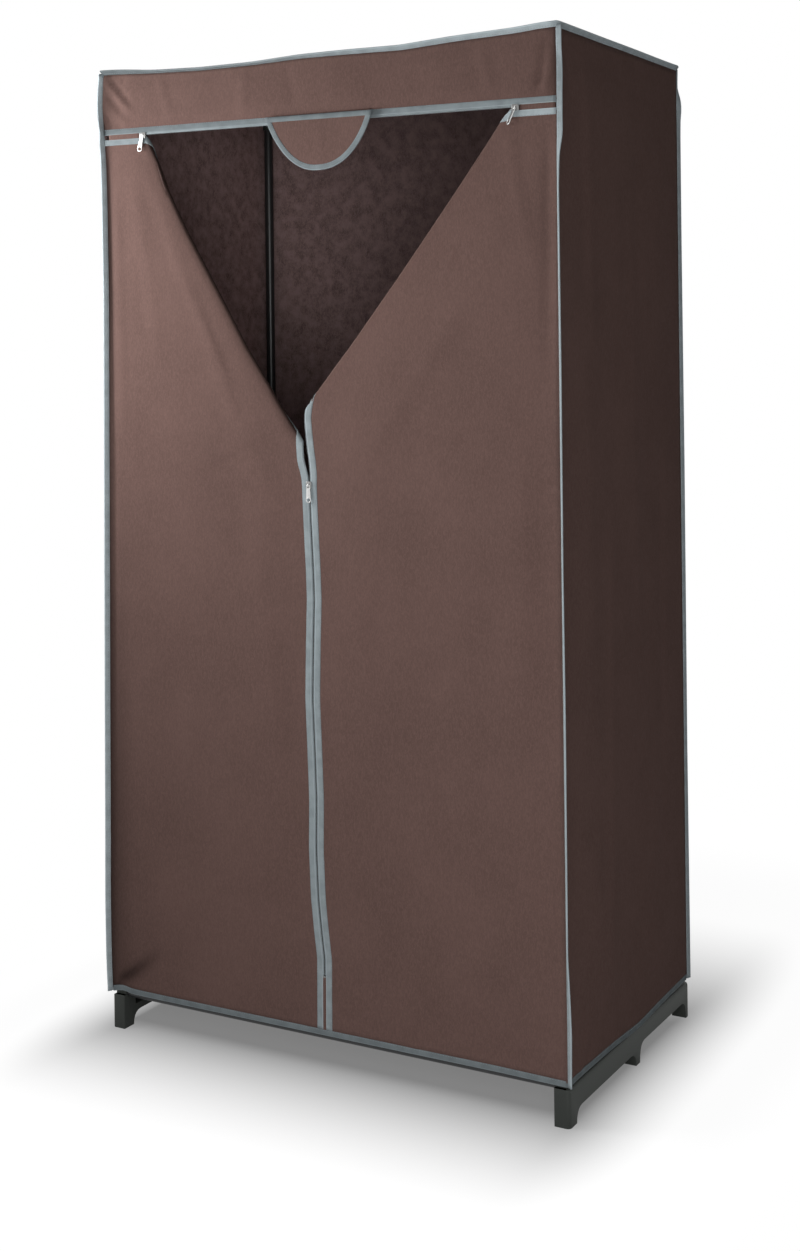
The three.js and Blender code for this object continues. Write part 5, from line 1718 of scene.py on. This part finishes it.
def lathe(name, profile, base, axis, material, sides=32):
    """A solid turned about an axis from a closed profile of radius and distance along."""
    axis = np.array(axis, float)
    u = np.array((0, 0, 1.0)) if abs(axis[2]) < 0.5 else np.array((1.0, 0, 0))
    v = np.cross(axis, u)
    ways = [u * math.cos(a) + v * math.sin(a) for a in full_turn(sides)]
    points = [base + axis * d + way * r for way in ways for r, d in profile]
    obj = new_object(name, points, grid_faces(sides, len(profile), closed_rows=True, closed_columns=True), [material])
    smoothed(obj.data, 40)
    return obj


def tube_profile(length, plug=0.0):
    """Wall of a tube with rounded rims, and a narrower plug end if asked."""
    r, inner, c = 0.008, 0.007, 0.0003
    foot, far = [(r - c, 0.0), (r, c)], [(r, length - c), (r - c, length), (inner + c, length), (inner, length - c)]
    if plug:
        p, q = inner - 0.0003, inner - 0.0013
        end = [(q, -plug), (p - c, -plug), (p, -plug + c), (p, -0.0)]
        return [*end, *foot, *far, (inner, 0.001), (q, 0.001)]
    return [(inner, c), (inner + c, 0.0), *foot, *far]


class WARDROBE_OT_frame(bpy.types.Operator):
    """Coated steel tubes and their moulded connectors under the cover"""
    bl_idname = "wardrobe.frame"
    bl_label = "Tube frame"

    def execute(self, context):
        paint, moulding = get_material("tube"), get_material("moulding")
        for node_name in sorted(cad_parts):
            if "tube" in node_name or "upright" in node_name or node_name == "hanging_rail":
                low, high = (np.array(v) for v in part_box(node_name))
                size = high - low
                k = int(np.argmax(size))
                plug = 0.040 if "upper" in node_name else 0.0
                base = (low + high) / 2
                base[k] = low[k] + plug
                if node_name == "base_tube_front":
                    base[2] -= 0.0018
                tube = lathe(f"{node_name}_steel", tube_profile(size[k] - plug, plug), base, np.eye(3)[k], paint)
                finish_piece(tube, ROOT, [node_name])
            elif "connector" in node_name or "rail_tee" in node_name:
                part = finished_copy(f"{node_name}_moulding", node_name, moulding, 0.0007)
                finish_piece(part, ROOT, [node_name])
        return {"FINISHED"}


class WARDROBE_OT_base(bpy.types.Operator):
    """Two moulded base rails with three feet each"""
    bl_idname = "wardrobe.base"
    bl_label = "Base rails"

    def execute(self, context):
        for name in ("base_rail_left", "base_rail_right"):
            rail = finished_copy(f"{name}_moulding", name, get_material("moulding"), 0.0011, 3, 0.0065)
            finish_piece(rail, ROOT, [name])
        return {"FINISHED"}


# ---------------------------------------------------------------- stage

# Each lamp's place, the point it faces and its size
LAMPS = {
    "key": ((-0.93, -0.80, 1.36), (0.30, -0.64, 1.60), 0.6),
    "opening": ((0.95, -2.00, 0.92), (0.10, -0.25, 0.75), 1.2),
    "overhead": ((0.0, 0.15, 3.60), (0.0, 0.10, 0.0), 1.2),
    "behind": ((-0.90, 3.00, 1.60), (0.0, 0.25, 0.85), 1.4),
}
# The camera's place, its turn about the upright and about its view, its lens in millimetres and its shift
CAMERA_PLACE = (1.46218, -2.57275, 1.13405)
CAMERA_YAW = 0.51333
CAMERA_ROLL = -0.01192
CAMERA_LENS = 50.665
CAMERA_SHIFT = -0.2234


def area_light(name, power, place, target, size):
    """A soft square lamp that the camera doesn't see."""
    data = bpy.data.lights.new(name, "AREA")
    data.energy = power
    data.shape = "RECTANGLE"
    data.size = data.size_y = size
    lamp = linked(name, data)
    lamp.location = place
    lamp.visible_camera = False
    lamp.rotation_euler = (Vector(target) - Vector(place)).to_track_quat("-Z", "Y").to_euler()


class WARDROBE_OT_stage(bpy.types.Operator):
    """White floor, soft studio light and the camera at the photograph's place"""
    bl_idname = "wardrobe.stage"
    bl_label = "Stage"

    def execute(self, context):
        scene = context.scene
        scene.view_settings.view_transform = "Standard"
        bm = bmesh.new()
        bmesh.ops.create_grid(bm, x_segments=8, y_segments=8, size=9.0)
        mesh = bpy.data.meshes.new("studio_floor")
        bm.to_mesh(mesh)
        bm.free()
        mesh.materials.append(floor_material(scene.wardrobe_colours.floor))
        linked("studio_floor", mesh)
        self.light(scene)
        self.camera(scene)
        return {"FINISHED"}

    def light(self, scene):
        """An even white surround and the soft lamps."""
        studio = scene.wardrobe_studio
        world = bpy.data.worlds.new("studio")
        scene.world = world
        world.use_nodes = True
        tree = world.node_tree
        tree.nodes.clear()
        inputs = {"Value": seen_directly(tree), "To Min": studio.fill, "To Max": 1.0}
        strength = node(tree, "ShaderNodeMapRange", inputs).outputs["Result"]
        sky = node(tree, "ShaderNodeBackground", {"Color": (1, 1, 1, 1), "Strength": strength})
        node(tree, "ShaderNodeOutputWorld", {"Surface": sky.outputs["Background"]})
        for name, (place, target, size) in LAMPS.items():
            area_light(name, getattr(studio, name), place, target, size)

    def camera(self, scene):
        """The camera at the photograph's place, turned a little about its view."""
        forward = Vector((-math.sin(CAMERA_YAW), math.cos(CAMERA_YAW), 0))
        right, up = Vector((math.cos(CAMERA_YAW), math.sin(CAMERA_YAW), 0)), Vector((0, 0, 1))
        level = right * math.cos(CAMERA_ROLL) + up * math.sin(CAMERA_ROLL)
        upright = -right * math.sin(CAMERA_ROLL) + up * math.cos(CAMERA_ROLL)
        turn = Matrix((level, upright, -forward)).transposed().to_4x4()
        data = bpy.data.cameras.new("camera")
        data.lens = CAMERA_LENS
        data.sensor_width = 36
        data.sensor_fit = "AUTO"
        data.shift_y = CAMERA_SHIFT
        data.clip_end = 60
        camera = linked("camera", data)
        camera.matrix_world = Matrix.Translation(CAMERA_PLACE) @ turn
        scene.camera = camera


# ---------------------------------------------------------------- sidebar and registration

STEPS = (
    WARDROBE_OT_walls, WARDROBE_OT_valance, WARDROBE_OT_doors, WARDROBE_OT_tab, WARDROBE_OT_bindings,
    WARDROBE_OT_sliders, WARDROBE_OT_frame, WARDROBE_OT_base, WARDROBE_OT_stage,
)


class WARDROBE_PT_panel(bpy.types.Panel):
    """Sizes, colours and building steps of the wardrobe"""
    bl_idname = "WARDROBE_PT_panel"
    bl_label = "Fabric wardrobe"
    bl_space_type = "VIEW_3D"
    bl_region_type = "UI"
    bl_category = "Wardrobe"

    def draw(self, context):
        for name in SETTINGS:
            group = getattr(context.scene, name)
            box = self.layout.box()
            for key in group.__annotations__:
                box.prop(group, key)
        for step in STEPS:
            self.layout.operator(step.bl_idname)


CLASSES = (*SETTINGS.values(), *STEPS, WARDROBE_PT_panel)


def register():
    """Adds the settings, the steps and the panel."""
    for item in CLASSES:
        bpy.utils.register_class(item)
    for name, group in SETTINGS.items():
        setattr(bpy.types.Scene, name, PointerProperty(type=group))


def unregister():
    """Takes them away again."""
    for name in SETTINGS:
        delattr(bpy.types.Scene, name)
    for item in reversed(CLASSES):
        bpy.utils.unregister_class(item)


def main():
    """Builds every piece and the stage."""
    register()
    bpy.ops.wardrobe.walls()
    bpy.ops.wardrobe.valance()
    bpy.ops.wardrobe.doors()
    bpy.ops.wardrobe.tab()
    bpy.ops.wardrobe.bindings()
    bpy.ops.wardrobe.sliders()
    bpy.ops.wardrobe.frame()
    bpy.ops.wardrobe.base()
    bpy.ops.wardrobe.stage()
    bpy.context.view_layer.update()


if __name__ == "__main__":
    main()
